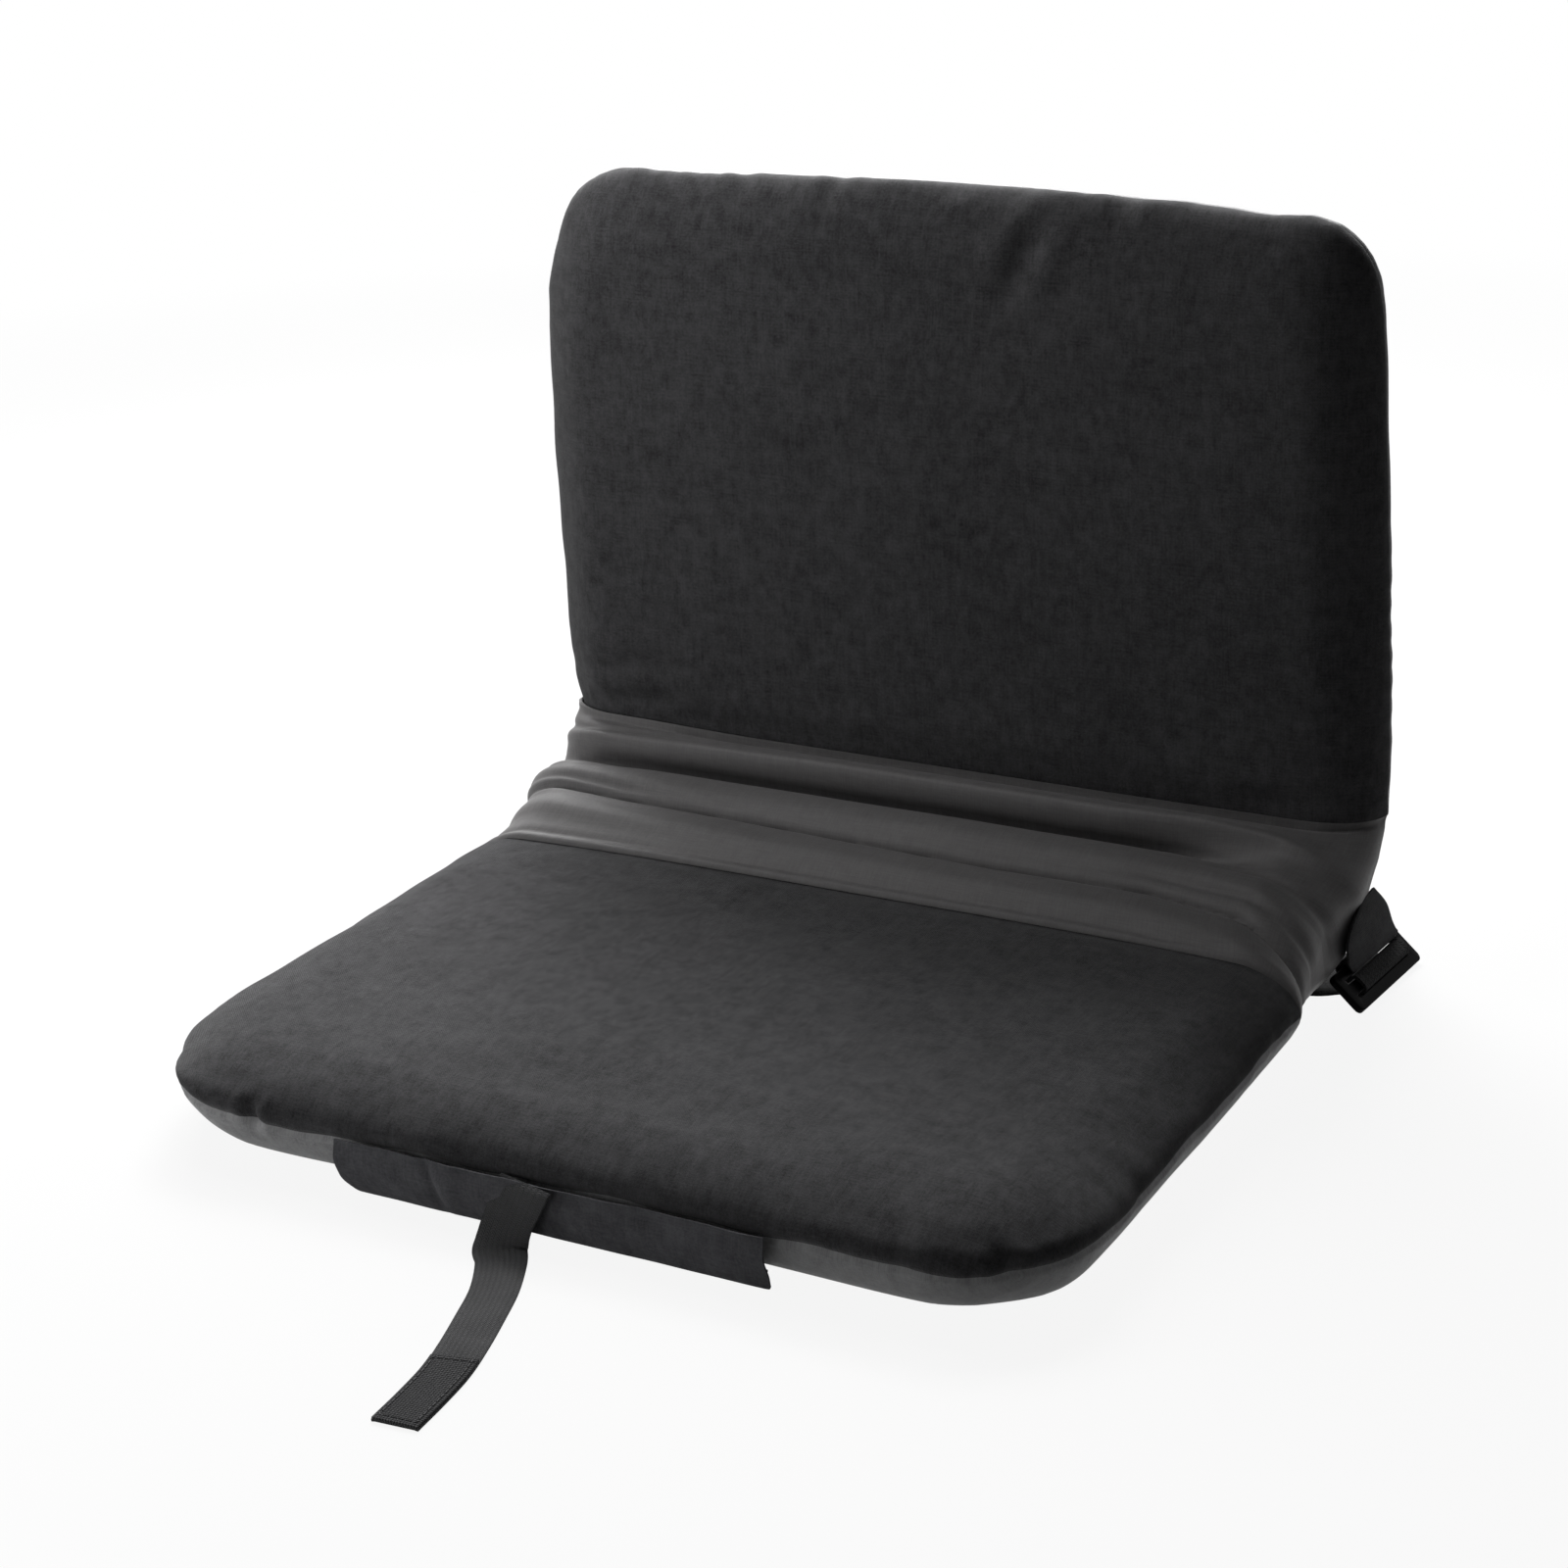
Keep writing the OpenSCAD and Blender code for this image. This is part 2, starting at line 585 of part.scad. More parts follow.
// Hook tape: on top of the strap's last stretch
hook_t = 0.9;
module closing_strap_hook_tape() {
  last = len(strap_points) - 1;
  d = unit(strap_points[last] - strap_points[last - 1]);
  a = strap_points[last] + [0, 0, (strap_t + hook_t) / 2];
  n = [0, 0, 1];
  s = unit([-d[1], d[0], 0]) * strap_w / 2;
  color([0.12, 0.12, 0.13]) ribbon([a - d * hook_l, a], [s, s], [n, n], hook_t);
}

// Front pocket: a panel from its hem, under the bevel, up to its open mouth below the seam
pocket_share = 0.242;
pocket_x = -seat_w * pocket_share;
// [forward of the seat's front, up as a share of pocket_h]
pocket_out = 2;
pocket_shares = [[1.0, 1.0], [1.0, 0.72], [0.9, 0.4], [0.5, 0.12], [-0.2, 0.0]];
hem_in = 3;
module front_pocket() {
  rise = pocket_h - pocket_t / 2;
  outer = [for (s = pocket_shares) [-seat_front - s[0] * pocket_out, pocket_t / 2 + s[1] * rise]];
  hem = [-seat_front + bevel_in - hem_in, pocket_t / 2];
  line = concat(outer, [hem]);
  pts = [for (p = line) [0, p[0], p[1]]];
  xs = [for (k = [0 : pocket_cols]) pocket_x + pocket_l * k / pocket_cols];
  function pucker(k, i) = i < 3 ? pocket_pucker * (3 - i) * sin(360 * k / pocket_cols * 3 + 40) / 3 : 0;
  upper = [for (i = [0 : len(pts) - 1]) [for (k = [0 : pocket_cols])
    let (d = path_dir(pts, i), n = [0, -d[2], d[1]])
    [xs[k], pts[i][1] + pucker(k, i), pts[i][2]] + n * pocket_t / 2
  ]];
  lower = [for (i = [0 : len(pts) - 1]) [for (k = [0 : pocket_cols])
    let (d = path_dir(pts, i), n = [0, -d[2], d[1]])
    [xs[k], pts[i][1] + pucker(k, i), pts[i][2]] - n * pocket_t / 2
  ]];
  color([0.22, 0.22, 0.24]) between_grids(upper, lower);
}
pocket_cols = 16;
pocket_pucker = 0.4;

// Slide buckle at the right rear corner: three bars in a frame, leaning on its outboard edge
buckle_lean = 41;
buckle_turn = -4;
buckle_out = 6;
buckle_x = seat_w / 2 + buckle_out;
buckle_y = seat_rear + tail_l + 2 * soft_gap + web_w / 2;
// The strap lies nearer one end of the slots, so that it clears the hinge plates as the back folds
web_shift = 2.4;
web_y = buckle_y + web_shift;
bar_w = 5;
rim_w = 6;
slot_w = (buckle_w - 3 * bar_w) / 2;
module buckle_place() {
  translate([buckle_x, buckle_y, 0]) rotate([0, 0, buckle_turn]) rotate([0, buckle_lean, 0]) children();
}
module strap_buckle() {
  color([0.05, 0.05, 0.05]) buckle_place() difference() {
    translate([-buckle_w, -buckle_l / 2, 0]) cube([buckle_w, buckle_l, buckle_t]);
    for (k = [0, 1])
      translate([-bar_w - slot_w - k * (bar_w + slot_w), -buckle_l / 2 + rim_w, -cut_over])
        cube([slot_w, buckle_l - 2 * rim_w, buckle_t + 2 * cut_over]);
  }
}

// A point of the buckle's own frame (x out from the rim that rests, along it, z off its back)
function buckle_at(x, along, z) =
  let (out = x * cos(buckle_lean) + z * sin(buckle_lean))
  [
    buckle_x + out * cos(buckle_turn) - along * sin(buckle_turn),
    buckle_y + out * sin(buckle_turn) + along * cos(buckle_turn),
    -x * sin(buckle_lean) + z * cos(buckle_lean)
  ];
buckle_side = [-sin(buckle_turn), cos(buckle_turn), 0];

// Carry strap: sewn to the left side, flat on the floor behind the hinge, then up through the
// buckle, over its middle bar and down again. left_shares: [x past left_x, height]
left_in = 4.5;
left_x = seat_w / 2 - left_in;
left_h = 40;
floor_in = 27;
floor_x = seat_w / 2 - floor_in;
left_shares = [[0, 1], [0.0125, 0.65], [-0.025, 0.3], [-0.1, 0.1]];
lead_in = 3;
slot_out = -bar_w - slot_w / 2;
slot_in = -2 * bar_w - 1.5 * slot_w;
web_rise = web_t * 1.15;
module carry_strap() {
  flat = concat(
    [for (s = left_shares) [-left_x - s[0] * left_h, web_y, s[1] * left_h]],
    [for (x = [-left_x + left_h / 4, -left_x + left_h, 0, floor_x - left_h, floor_x]) [x, web_y, web_t / 2]]
  );
  loop = [
    buckle_at(slot_out - 2 * lead_in, web_shift, -4 * web_t),
    buckle_at(slot_out - lead_in, web_shift, -2.4 * web_t),
    buckle_at(slot_out, web_shift, 0), buckle_at(slot_out, web_shift, buckle_t),
    buckle_at(slot_out - web_t, web_shift, buckle_t + web_rise),
    buckle_at(slot_in + web_t, web_shift, buckle_t + web_rise),
    buckle_at(slot_in, web_shift, buckle_t), buckle_at(slot_in, web_shift, 0)
  ];
  pts = concat(flat, loop);
  sides = [for (i = [0 : len(pts) - 1]) (i < len(flat) ? [0, 1, 0] : buckle_side) * web_w / 2];
  normals = [for (i = [0 : len(pts) - 1]) let (d = path_dir(pts, i)) unit([-d[2], 0, d[0]])];
  color([0.28, 0.28, 0.3]) ribbon(pts, sides, normals, web_t);
}

// Tapered tab: its narrow top is sewn flat to the sleeve's right side, where the side starts to
// turn in, and it widens down to the buckle's inboard bar and goes round it
tab_t = 1.2;
tab_w = 46;
tab_row = 12;
tab_bulge = 1.5;
tab_shift = 5.5;
// [share of the way down, width]
tab_shares = [[0, 0.22], [0.35, 0.52], [0.7, 0.85], [0.95, 1]];
// Round the bar, as shares of bar_w past the bar's middle and heights over it in tab_t
loop_shares = [[0.3, 1], [-0.3, 1], [-0.8, 0.3], [-0.87, -1.5], [-0.6, -3.7], [0.1, -3.8]];
module buckle_tab() {
  v = tab_row / band_rows;
  front = band_line(v);
  rear = edge_line(tab_row);
  turn = rear - unit(rear - front) * mix(seat_seam, back_seam, v);
  top = [sleeve_half(v) + soft_gap + tab_t / 2, turn[0], turn[1]];
  bar = -buckle_w + bar_w / 2;
  loop = [for (s = loop_shares) buckle_at(bar + s[0] * bar_w, tab_shift, buckle_t + s[1] * tab_t)];
  pts = concat(
    [for (s = tab_shares) mix(top, loop[0], s[0]) + [tab_bulge * sin(180 * s[0]), 0, 0]],
    loop
  );
  n = len(tab_shares);
  sides = [for (i = [0 : len(pts) - 1])
    let (down = i < n ? tab_shares[i][0] : 1, wide = tab_shares[min(i, n - 1)][1])
    tab_w / 2 * wide * unit(mix([0, 1, 0], buckle_side, down))
  ];
  normals = [for (i = [0 : len(pts) - 1]) let (d = path_dir(pts, i)) unit([-d[2], 0, d[0]])];
  color([0.2, 0.2, 0.2]) ribbon(pts, sides, normals, tab_t);
}

// Gusset: a sleeve round the hinge. The front sheet runs from the seat's top to the back's bottom
// and wraps both sides; the rear sheet closes it behind. At its ends it has the pads' own section
gusset_t = 1.2;
waist_in = 7.5;
// Along the band from seat to back: how far the cloth stands off its straight line
fold_shares = [0, 0.3, 0.6, 0.4, -0.25, 0.35, 0.6, 0.55, 0.3, -0.4, -1.0, -0.85, 0.15, 0.8, 0.85, 0.3, 0];
fold_h = 4;
band_rows = len(fold_shares) - 1;
// Where the side's lower edge runs, as [y, z] from the hinge line, in shares of hinge_setback and
// of hinge_z under it or of hinge_setback over it
edge_shares = [
  [-0.995, -0.99], [-0.83, -0.99], [-0.66, -0.99], [-0.48, -0.99], [-0.3, -0.99], [-0.12, -0.99],
  [0.06, -0.99], [0.2, -0.99], [0.33, -0.93], [0.46, -0.72], [0.58, -0.4], [0.72, 0.02],
  [0.86, 0.2], [1.01, 0.4], [1.15, 0.6], [1.28, 0.8], [1.385, 0.97]
];
flat_cols = 12;
over_cols = 5;
side_cols = 2;
under_cols = 5;
function band_line(v) =
  let (a = [seat_rear + soft_gap, pad_t], b = [back_front, back_bottom - soft_gap]) a + (b - a) * v;
function edge_line(i) = let (e = edge_shares[i])
  [hinge_y + e[0] * hinge_setback, hinge_z + e[1] * (e[1] < 0 ? hinge_z : hinge_setback)];
function mix(a, b, v) = a + (b - a) * v;
function sleeve_half(v) = mix(seat_w, back_w, v) / 2 - waist_in * sin(180 * v);
// Across the sleeve: [x, depth under the band's line], for column c of the half at width hw
function sleeve_at(c, v, depth, hw, inset) =
  let (s = sign(c), m = abs(c) - flat_cols / 2)
  let (over = mix(pad_t - seat_seam, back_t - back_seam, v), under = mix(seat_seam, back_seam, v))
  m <= 0 ?
    let (x = (hw - roll_in) * c / (flat_cols / 2)) [x, inset + crown_h - crown_at(x, 0, hw, pad_l, crown_h)] :
  m <= over_cols ?
    let (a = 90 * (1 - m / over_cols), x = hw - roll_in * (1 - cos(a)))
    let (rise = over - crown_h + crown_at(x, 0, hw, pad_l, crown_h))
    [s * (x - inset * cos(a)), over - rise * sin(a) + inset * sin(a)] :
  m <= over_cols + side_cols ?
    [s * (hw - inset), over + (depth - over - under) * (m - over_cols) / side_cols] :
    let (a = 90 * (m - over_cols - side_cols) / under_cols)
    [
      s * (hw - bevel_in * pow(1 - cos(a), 0.85) - inset * cos(a)),
      depth - under + (under - inset) * pow(sin(a), 1.1)
    ];
module gusset_front() {
  half = flat_cols / 2 + over_cols + side_cols + under_cols;
  run = unit(band_line(1) - band_line(0));
  up = [-run[1], run[0]];
  function point(i, c, inset) =
    let (v = i / band_rows, f = band_line(v), e = edge_line(i), depth = norm(e - f), d = (e - f) / depth)
    let (hw = sleeve_half(v), at = sleeve_at(c, v, depth, hw, inset))
    let (fade = max(0, 1 - pow(abs(at[0]) / (hw - roll_in / 3), 8)))
    let (p = f + up * fold_shares[i] * fold_h * fade + d * at[1])
    [at[0], p[0], p[1]];
  upper = [for (i = [0 : band_rows]) [for (c = [-half : half]) point(i, c, 0)]];
  lower = [for (i = [0 : band_rows]) [for (c = [-half : half]) point(i, c, gusset_t)]];
  color([0.32, 0.3, 0.3]) between_grids(upper, lower);
}
// Rear sheet: from the tail of the underside up to the back's rear edge
rear_cols = 12;
rear_first = 8;
module gusset_rear() {
  rows = band_rows - rear_first;
  function point(i, c, inset) =
    let (v = (i + rear_first) / band_rows, e = edge_line(i + rear_first))
    let (g = edge_line(max(i + rear_first - 1, rear_first)))
    let (h = edge_line(min(i + rear_first + 1, band_rows)))
    let (d = unit(h - g), p = e - [d[1], -d[0]] * inset)
    let (hw = sleeve_half(v) - bevel_in - soft_gap)
    [hw * c / (rear_cols / 2), p[0], p[1]];
  upper = [for (i = [0 : rows]) [for (c = [-rear_cols / 2 : rear_cols / 2]) point(i, c, 0)]];
  lower = [for (i = [0 : rows]) [for (c = [-rear_cols / 2 : rear_cols / 2]) point(i, c, gusset_t)]];
  color([0.28, 0.26, 0.26]) between_grids(lower, upper);
}

seat_frame_tube();
seat_cross_tube();
seat_board();
seat_board_screws();
seat_foam();
seat_cover();
seat_underside();
front_pocket();
closing_strap();
closing_strap_hook_tape();
hinge_plate_seat_left();
hinge_plate_seat_right();
seat_plate_rivets();
pivot_rivets();
pivot_washers();
stop_pins();
buckle_tab();
strap_buckle();
carry_strap();
back_frame_tube();
back_cross_tube();
back_board();
back_board_screws();
back_foam();
back_cover_front();
back_cover_rear();
hinge_plate_back_left();
hinge_plate_back_right();
back_plate_rivets();
back_loop_patch();
gusset_front();
gusset_rear();
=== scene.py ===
# %% [markdown]
# # A folding stadium seat in cloth
# The real seat is two padded panels on a riveted hinge. Each panel is a steel frame, a board and
# a foam slab in a sewn cover, and a sleeve of thin cloth hides the hinge.
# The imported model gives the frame, the hinge and the joint. This script dresses it in cloth.

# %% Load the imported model
import math
from contextlib import contextmanager
import bmesh
import bpy
import numpy as np
from mathutils import Matrix, Vector


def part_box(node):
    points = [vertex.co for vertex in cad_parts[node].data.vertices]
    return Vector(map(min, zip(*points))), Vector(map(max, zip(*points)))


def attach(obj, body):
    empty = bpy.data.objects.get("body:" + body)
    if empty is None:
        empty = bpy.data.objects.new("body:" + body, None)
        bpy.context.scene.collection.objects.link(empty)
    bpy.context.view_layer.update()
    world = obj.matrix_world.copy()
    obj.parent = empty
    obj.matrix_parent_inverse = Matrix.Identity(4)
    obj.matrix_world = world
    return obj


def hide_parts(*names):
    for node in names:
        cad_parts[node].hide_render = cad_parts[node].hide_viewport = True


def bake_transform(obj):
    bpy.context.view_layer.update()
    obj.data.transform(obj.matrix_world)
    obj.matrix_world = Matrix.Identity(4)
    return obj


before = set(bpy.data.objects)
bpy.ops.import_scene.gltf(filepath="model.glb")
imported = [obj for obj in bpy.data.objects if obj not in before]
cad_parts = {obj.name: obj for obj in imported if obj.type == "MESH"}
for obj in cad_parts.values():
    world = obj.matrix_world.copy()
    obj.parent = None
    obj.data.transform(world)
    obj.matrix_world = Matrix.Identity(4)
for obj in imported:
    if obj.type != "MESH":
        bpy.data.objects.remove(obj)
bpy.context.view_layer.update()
scene = bpy.context.scene

# %% [markdown]
# ## Camera
# A camera can be set by eye, or worked out from points whose real places are known. The second
# way was used: the pads' corners gave the direction, the tilt and the lens.

# %% Camera
across = Vector((0.87771, 0.47777, -0.03695))
upward = Vector((-0.13929, 0.32815, 0.93430))
towards = across.cross(upward)
camera_data = bpy.data.cameras.new("camera")
camera_data.sensor_width = 36
camera_data.lens = 77.26
camera = bpy.data.objects.new("camera", camera_data)
scene.collection.objects.link(camera)
turn = Matrix((across, upward, towards)).transposed().to_4x4()
camera.matrix_world = Matrix.Translation((0.67242, -1.16612, 0.64609)) @ turn
scene.camera = camera
print("camera lens:", camera_data.lens, "mm")

# %% [markdown]
# ## Shader maths
# A material in Blender is a tree of nodes. Linking each Math node by hand is slow to write and
# hard to read, so a small class wraps a socket and turns Python's operators into Math nodes.

# %% A socket that does arithmetic
def operator(operation, swapped=False):
    """A method that adds one Math node for a pair of values."""
    def apply(self, other):
        return self.math(operation, other, self) if swapped else self.math(operation, self, other)
    return apply


class Socket:
    """An output socket in a tree. An expression on it adds the Math nodes that work it out."""

    def __init__(self, tree, out):
        self.tree = tree
        self.out = out

    def math(self, operation, *values):
        node = self.tree.nodes.new("ShaderNodeMath")
        node.operation = operation
        for socket, value in zip(node.inputs, values):
            plug(self.tree, socket, value)
        return Socket(self.tree, node.outputs[0])

    __add__, __radd__ = operator("ADD"), operator("ADD", True)
    __sub__, __rsub__ = operator("SUBTRACT"), operator("SUBTRACT", True)
    __mul__, __rmul__ = operator("MULTIPLY"), operator("MULTIPLY", True)
    __gt__ = operator("GREATER_THAN")

    def __abs__(self):
        return self.math("ABSOLUTE", self)

    def sin(self):
        return self.math("SINE", self)

    def limit(self):
        return self.math("MINIMUM", self.math("MAXIMUM", self, 0.0), 1.0)


def plug(tree, socket, value):
    """Link a Socket to an input, or set the input to a plain value."""
    if isinstance(value, Socket):
        tree.links.new(value.out, socket)
    else:
        socket.default_value = value


# %% A material under construction
class Look:
    """A material's tree. node() adds any node: its settings first, then its inputs."""

    def __init__(self, name, **constants):
        self.material = bpy.data.materials.new(name)
        self.material.use_nodes = True
        self.tree = self.material.node_tree
        self.shader = self.tree.nodes["Principled BSDF"]
        for key, value in constants.items():
            self.shader.inputs[key.replace("_", " ")].default_value = value

    def node(self, kind, settings=None, inputs=None, out=0):
        node = self.tree.nodes.new(kind)
        for key, value in (settings or {}).items():
            setattr(node, key, value)
        for key, value in (inputs or {}).items():
            plug(self.tree, node.inputs[key], value)
        return Socket(self.tree, node.outputs[out])

    def parts(self, vector):
        node = self.tree.nodes.new("ShaderNodeSeparateXYZ")
        plug(self.tree, node.inputs[0], vector)
        return [Socket(self.tree, out) for out in node.outputs]

    def uv(self):
        return self.node("ShaderNodeUVMap", {"uv_map": "cloth"})

    def place(self):
        return self.node("ShaderNodeTexCoord", out="Object")

    def noise(self, vector, scale, detail=2.0, rough=0.5):
        inputs = {"Vector": vector, "Scale": scale, "Detail": detail, "Roughness": rough}
        return self.node("ShaderNodeTexNoise", {}, inputs)

    def stretch(self, vector, by):
        inputs = {"Vector": vector, "Scale": by}
        return self.node("ShaderNodeMapping", {}, inputs)

    def blend(self, share, a, b):
        node = self.tree.nodes.new("ShaderNodeMix")
        node.data_type = "RGBA"
        for number, value in ((0, share), (6, a), (7, b)):
            plug(self.tree, node.inputs[number], (*value, 1) if isinstance(value, tuple) else value)
        return Socket(self.tree, node.outputs[2])

    def finish(self, colour=None, rough=None, height=None, depth=0.0002, strength=1.0):
        if colour is not None:
            plug(self.tree, self.shader.inputs["Base Color"], colour)
        if rough is not None:
            plug(self.tree, self.shader.inputs["Roughness"], rough)
        if height is not None:
            inputs = {"Height": height, "Distance": depth, "Strength": strength}
            plug(self.tree, self.shader.inputs["Normal"], self.node("ShaderNodeBump", {}, inputs))
        return self.material


# %% [markdown]
# ## Cloth materials
# Woven cloth is two sets of yarns that pass over and under each other. The sine of each
# direction gives the yarns' round tops, and the sign of their product says which set is on top.
# The pattern follows the piece's own flat map, so it bends with the cloth.

# %% Woven cloths
def weave(look, uv, pitch):
    """Height of a plain weave, 0 to 1, with yarns one pitch apart."""
    x, y, _ = look.parts(uv)
    a = (x * (math.pi / pitch)).sin()
    b = (y * (math.pi / pitch)).sin()
    over = (a * b) > 0.0
    return over * abs(a) + (1.0 - over) * abs(b)


def woven(name, dark, light, pitch, rough, sheen, depth, fleck=0.0, specular=0.25, mottle=0.5):
    """A plain-woven cloth: yarns, uneven threads, slow mottling and a few pale specks of lint."""
    look = Look(name, Sheen_Weight=sheen, Sheen_Roughness=0.45, Specular_IOR_Level=specular)
    uv = look.uv()
    height = weave(look, uv, pitch)
    slub_x = look.noise(look.stretch(uv, (60.0, 1400.0, 1.0)), 1.0, 2.0)
    slub_y = look.noise(look.stretch(uv, (1400.0, 60.0, 1.0)), 1.0, 2.0)
    slow = look.noise(look.place(), 14.0, 3.0)
    fine = look.noise(uv, 850.0, 1.0)
    grain = look.noise(look.stretch(uv, (260.0, 160.0, 1.0)), 1.0, 2.0)
    blotch = look.noise(look.place(), 110.0, 2.0)
    share = height * 0.3 + (slub_x + slub_y - 1.0) * 0.6 + (slow - 0.5) * mottle + 0.35
    share = share + ((fine - 0.5) * 1.8 + (grain - 0.5) * 1.7 + (blotch - 0.5) * 1.6) * mottle
    colour = look.blend(share.limit(), dark, light)
    if fleck:
        specks = look.noise(uv, 1500.0, 0.0) > 1.0 - fleck
        colour = look.blend(specks * 0.35, colour, (0.12, 0.12, 0.125))
    roughness = (rough + (slow - 0.5) * 0.12).limit()
    bumps = height * 0.4 + (slub_x + slub_y) * 0.35 + fine * 0.6
    return look.finish(colour, roughness, bumps, depth)


cover_cloth = woven("cover_cloth", (0.0269, 0.0265, 0.0278), (0.0896, 0.0887, 0.0927),
                    0.0006, 0.85, 0.2, 0.00018, 0.27, 0.03)
pocket_cloth = woven("pocket_cloth", (0.075, 0.075, 0.081), (0.162, 0.162, 0.174),
                     0.0006, 0.85, 0.1, 0.00014, 0.25, 0.03)
underside_cloth = woven("underside_cloth", (0.22, 0.22, 0.224), (0.42, 0.42, 0.427),
                        0.0009, 0.55, 0.0, 0.0001, 0.2, 0.15)
band_cloth = woven("band_cloth", (0.094, 0.0912, 0.0919), (0.175, 0.17, 0.1706),
                   0.00045, 0.5, 0.06, 0.00005, 0.0, 0.15, 0.2)
print("cloths:", cover_cloth.name, pocket_cloth.name, underside_cloth.name, band_cloth.name)

# %% Webbing, hook and loop, thread
def webbing(name, dark, light, rib, sheen=0.15):
    """Heavy tape: ribs across its length, each rib made of fine yarns that lean left and right."""
    look = Look(name, Sheen_Weight=sheen, Sheen_Roughness=0.5, Specular_IOR_Level=0.08)
    uv = look.uv()
    x, y, _ = look.parts(uv)
    zigzag = abs((x * (math.pi / (rib * 2.2))).sin()) * rib
    ribs = abs(((y + zigzag) * (math.pi / rib)).sin())
    columns = abs((x * (math.pi / (rib * 2.2))).sin())
    worn = look.noise(look.place(), 45.0, 4.0)
    fuzz = look.noise(uv, 1600.0, 2.0)
    share = ribs * 0.4 + columns * 0.15 + (worn - 0.5) * 0.9 + (fuzz - 0.5) * 0.8 + 0.2
    colour = look.blend(share.limit(), dark, light)
    return look.finish(colour, (0.86 - worn * 0.15).limit(), ribs * 0.7 + columns * 0.4 + fuzz * 0.4, 0.0003)


def pile(name, dark, light, grain):
    """Hook or loop tape: a dense field of tiny tufts in rows."""
    look = Look(name, Sheen_Weight=0.1, Sheen_Roughness=0.5, Specular_IOR_Level=0.2)
    uv = look.uv()
    x, y, _ = look.parts(uv)
    rows = abs((x * (math.pi / grain)).sin()) * abs((y * (math.pi / grain)).sin())
    tuft = look.noise(uv, 1.2 / grain, 3.0)
    share = rows * 0.5 + (tuft - 0.4) * 1.1
    colour = look.blend(share.limit(), dark, light)
    return look.finish(colour, (0.95 - rows * 0.2).limit(), rows + tuft, 0.0005)


strap_webbing = webbing("strap_webbing", (0.04, 0.04, 0.0412), (0.106, 0.106, 0.109), 0.0011, 0.06)
wide_webbing = webbing("wide_webbing", (0.0075, 0.0075, 0.0079), (0.025, 0.025, 0.0258), 0.0016, 0.03)
hook_tape = pile("hook_tape", (0.015, 0.015, 0.0162), (0.062, 0.062, 0.065), 0.0012)
loop_pile = pile("loop_pile", (0.007, 0.007, 0.0075), (0.03, 0.03, 0.031), 0.0009)


def spun_thread():
    look = Look("thread", Sheen_Weight=0.1, Specular_IOR_Level=0.3)
    grain = look.noise(look.place(), 2500.0, 2.0)
    colour = look.blend(grain, (0.02, 0.02, 0.021), (0.06, 0.06, 0.063))
    return look.finish(colour, (0.75 - grain * 0.2).limit(), grain, 0.00005)


thread = spun_thread()
print("tapes and thread:", strap_webbing.name, hook_tape.name, loop_pile.name, thread.name)

# %% [markdown]
# ## Hard materials
# The frame is powder coated, the hinge is zinc plated, the boards are plywood and the buckle is
# moulded. Noise on the object's own coordinates gives each its grain at the real scale.

# %% Metals
def coated_steel():
    look = Look("powder_coat", Specular_IOR_Level=0.4)
    peel = look.noise(look.place(), 700.0, 2.0)
    scuff = look.noise(look.place(), 30.0, 5.0) > 0.66
    colour = look.blend(scuff * 0.5, (0.035, 0.035, 0.038), (0.14, 0.14, 0.145))
    return look.finish(colour, (0.42 + peel * 0.2).limit(), peel, 0.00008)


def zinc(name, tint, rough):
    look = Look(name, Metallic=1.0)
    brushed = look.noise(look.stretch(look.place(), (40.0, 40.0, 900.0)), 1.0, 3.0)
    bloom = look.noise(look.place(), 60.0, 4.0)
    colour = look.blend((bloom * 1.4 - 0.2).limit(), tint, tuple(c * 0.72 for c in tint))
    return look.finish(colour, (rough + brushed * 0.2 + bloom * 0.1).limit(), brushed, 0.00003)


frame_steel = coated_steel()
hinge_steel = zinc("hinge_zinc", (0.58, 0.58, 0.57), 0.22)
fastener_steel = zinc("fastener_zinc", (0.66, 0.65, 0.62), 0.16)
print("metals:", frame_steel.name, hinge_steel.name, fastener_steel.name)

# %% Board, foam, nylon and buckle
def plywood():
    look = Look("plywood", Specular_IOR_Level=0.3)
    x, y, z = look.parts(look.place())
    grain = look.noise(look.stretch(look.place(), (12.0, 260.0, 260.0)), 1.0, 5.0)
    rings = abs(((y + grain * 0.012) * 420.0).sin())
    colour = look.blend((grain * 0.8 + rings * 0.3).limit(), (0.6, 0.43, 0.26), (0.36, 0.23, 0.12))
    return look.finish(colour, (0.55 + grain * 0.25).limit(), grain, 0.0001)


def open_cell_foam():
    look = Look("open_cell_foam", Specular_IOR_Level=0.15)
    cells = look.node("ShaderNodeTexVoronoi", {}, {"Vector": look.place(), "Scale": 900.0}, "Distance")
    tone = look.noise(look.place(), 20.0, 3.0)
    share = (cells * 0.8 + tone * 0.4).limit()
    return look.finish(look.blend(share, (0.45, 0.41, 0.28), (0.82, 0.78, 0.62)), 0.95, cells, 0.0004)


def moulded(name, dark, light, rough, peel_depth, specular):
    look = Look(name, Specular_IOR_Level=specular)
    peel = look.noise(look.place(), 520.0, 2.0)
    worn = look.noise(look.place(), 90.0, 4.0)
    colour = look.blend((worn - 0.35).limit(), dark, light)
    return look.finish(colour, (rough + worn * 0.12).limit(), peel, peel_depth)


board_ply = plywood()
foam = open_cell_foam()
nylon = moulded("washer_nylon", (0.78, 0.78, 0.74), (0.88, 0.88, 0.85), 0.4, 0.00003, 0.35)
buckle_plastic = moulded("buckle_plastic", (0.003, 0.003, 0.0033), (0.008, 0.008, 0.0085), 0.3, 0.00003, 0.02)
print("others:", board_ply.name, foam.name, nylon.name, buckle_plastic.name)

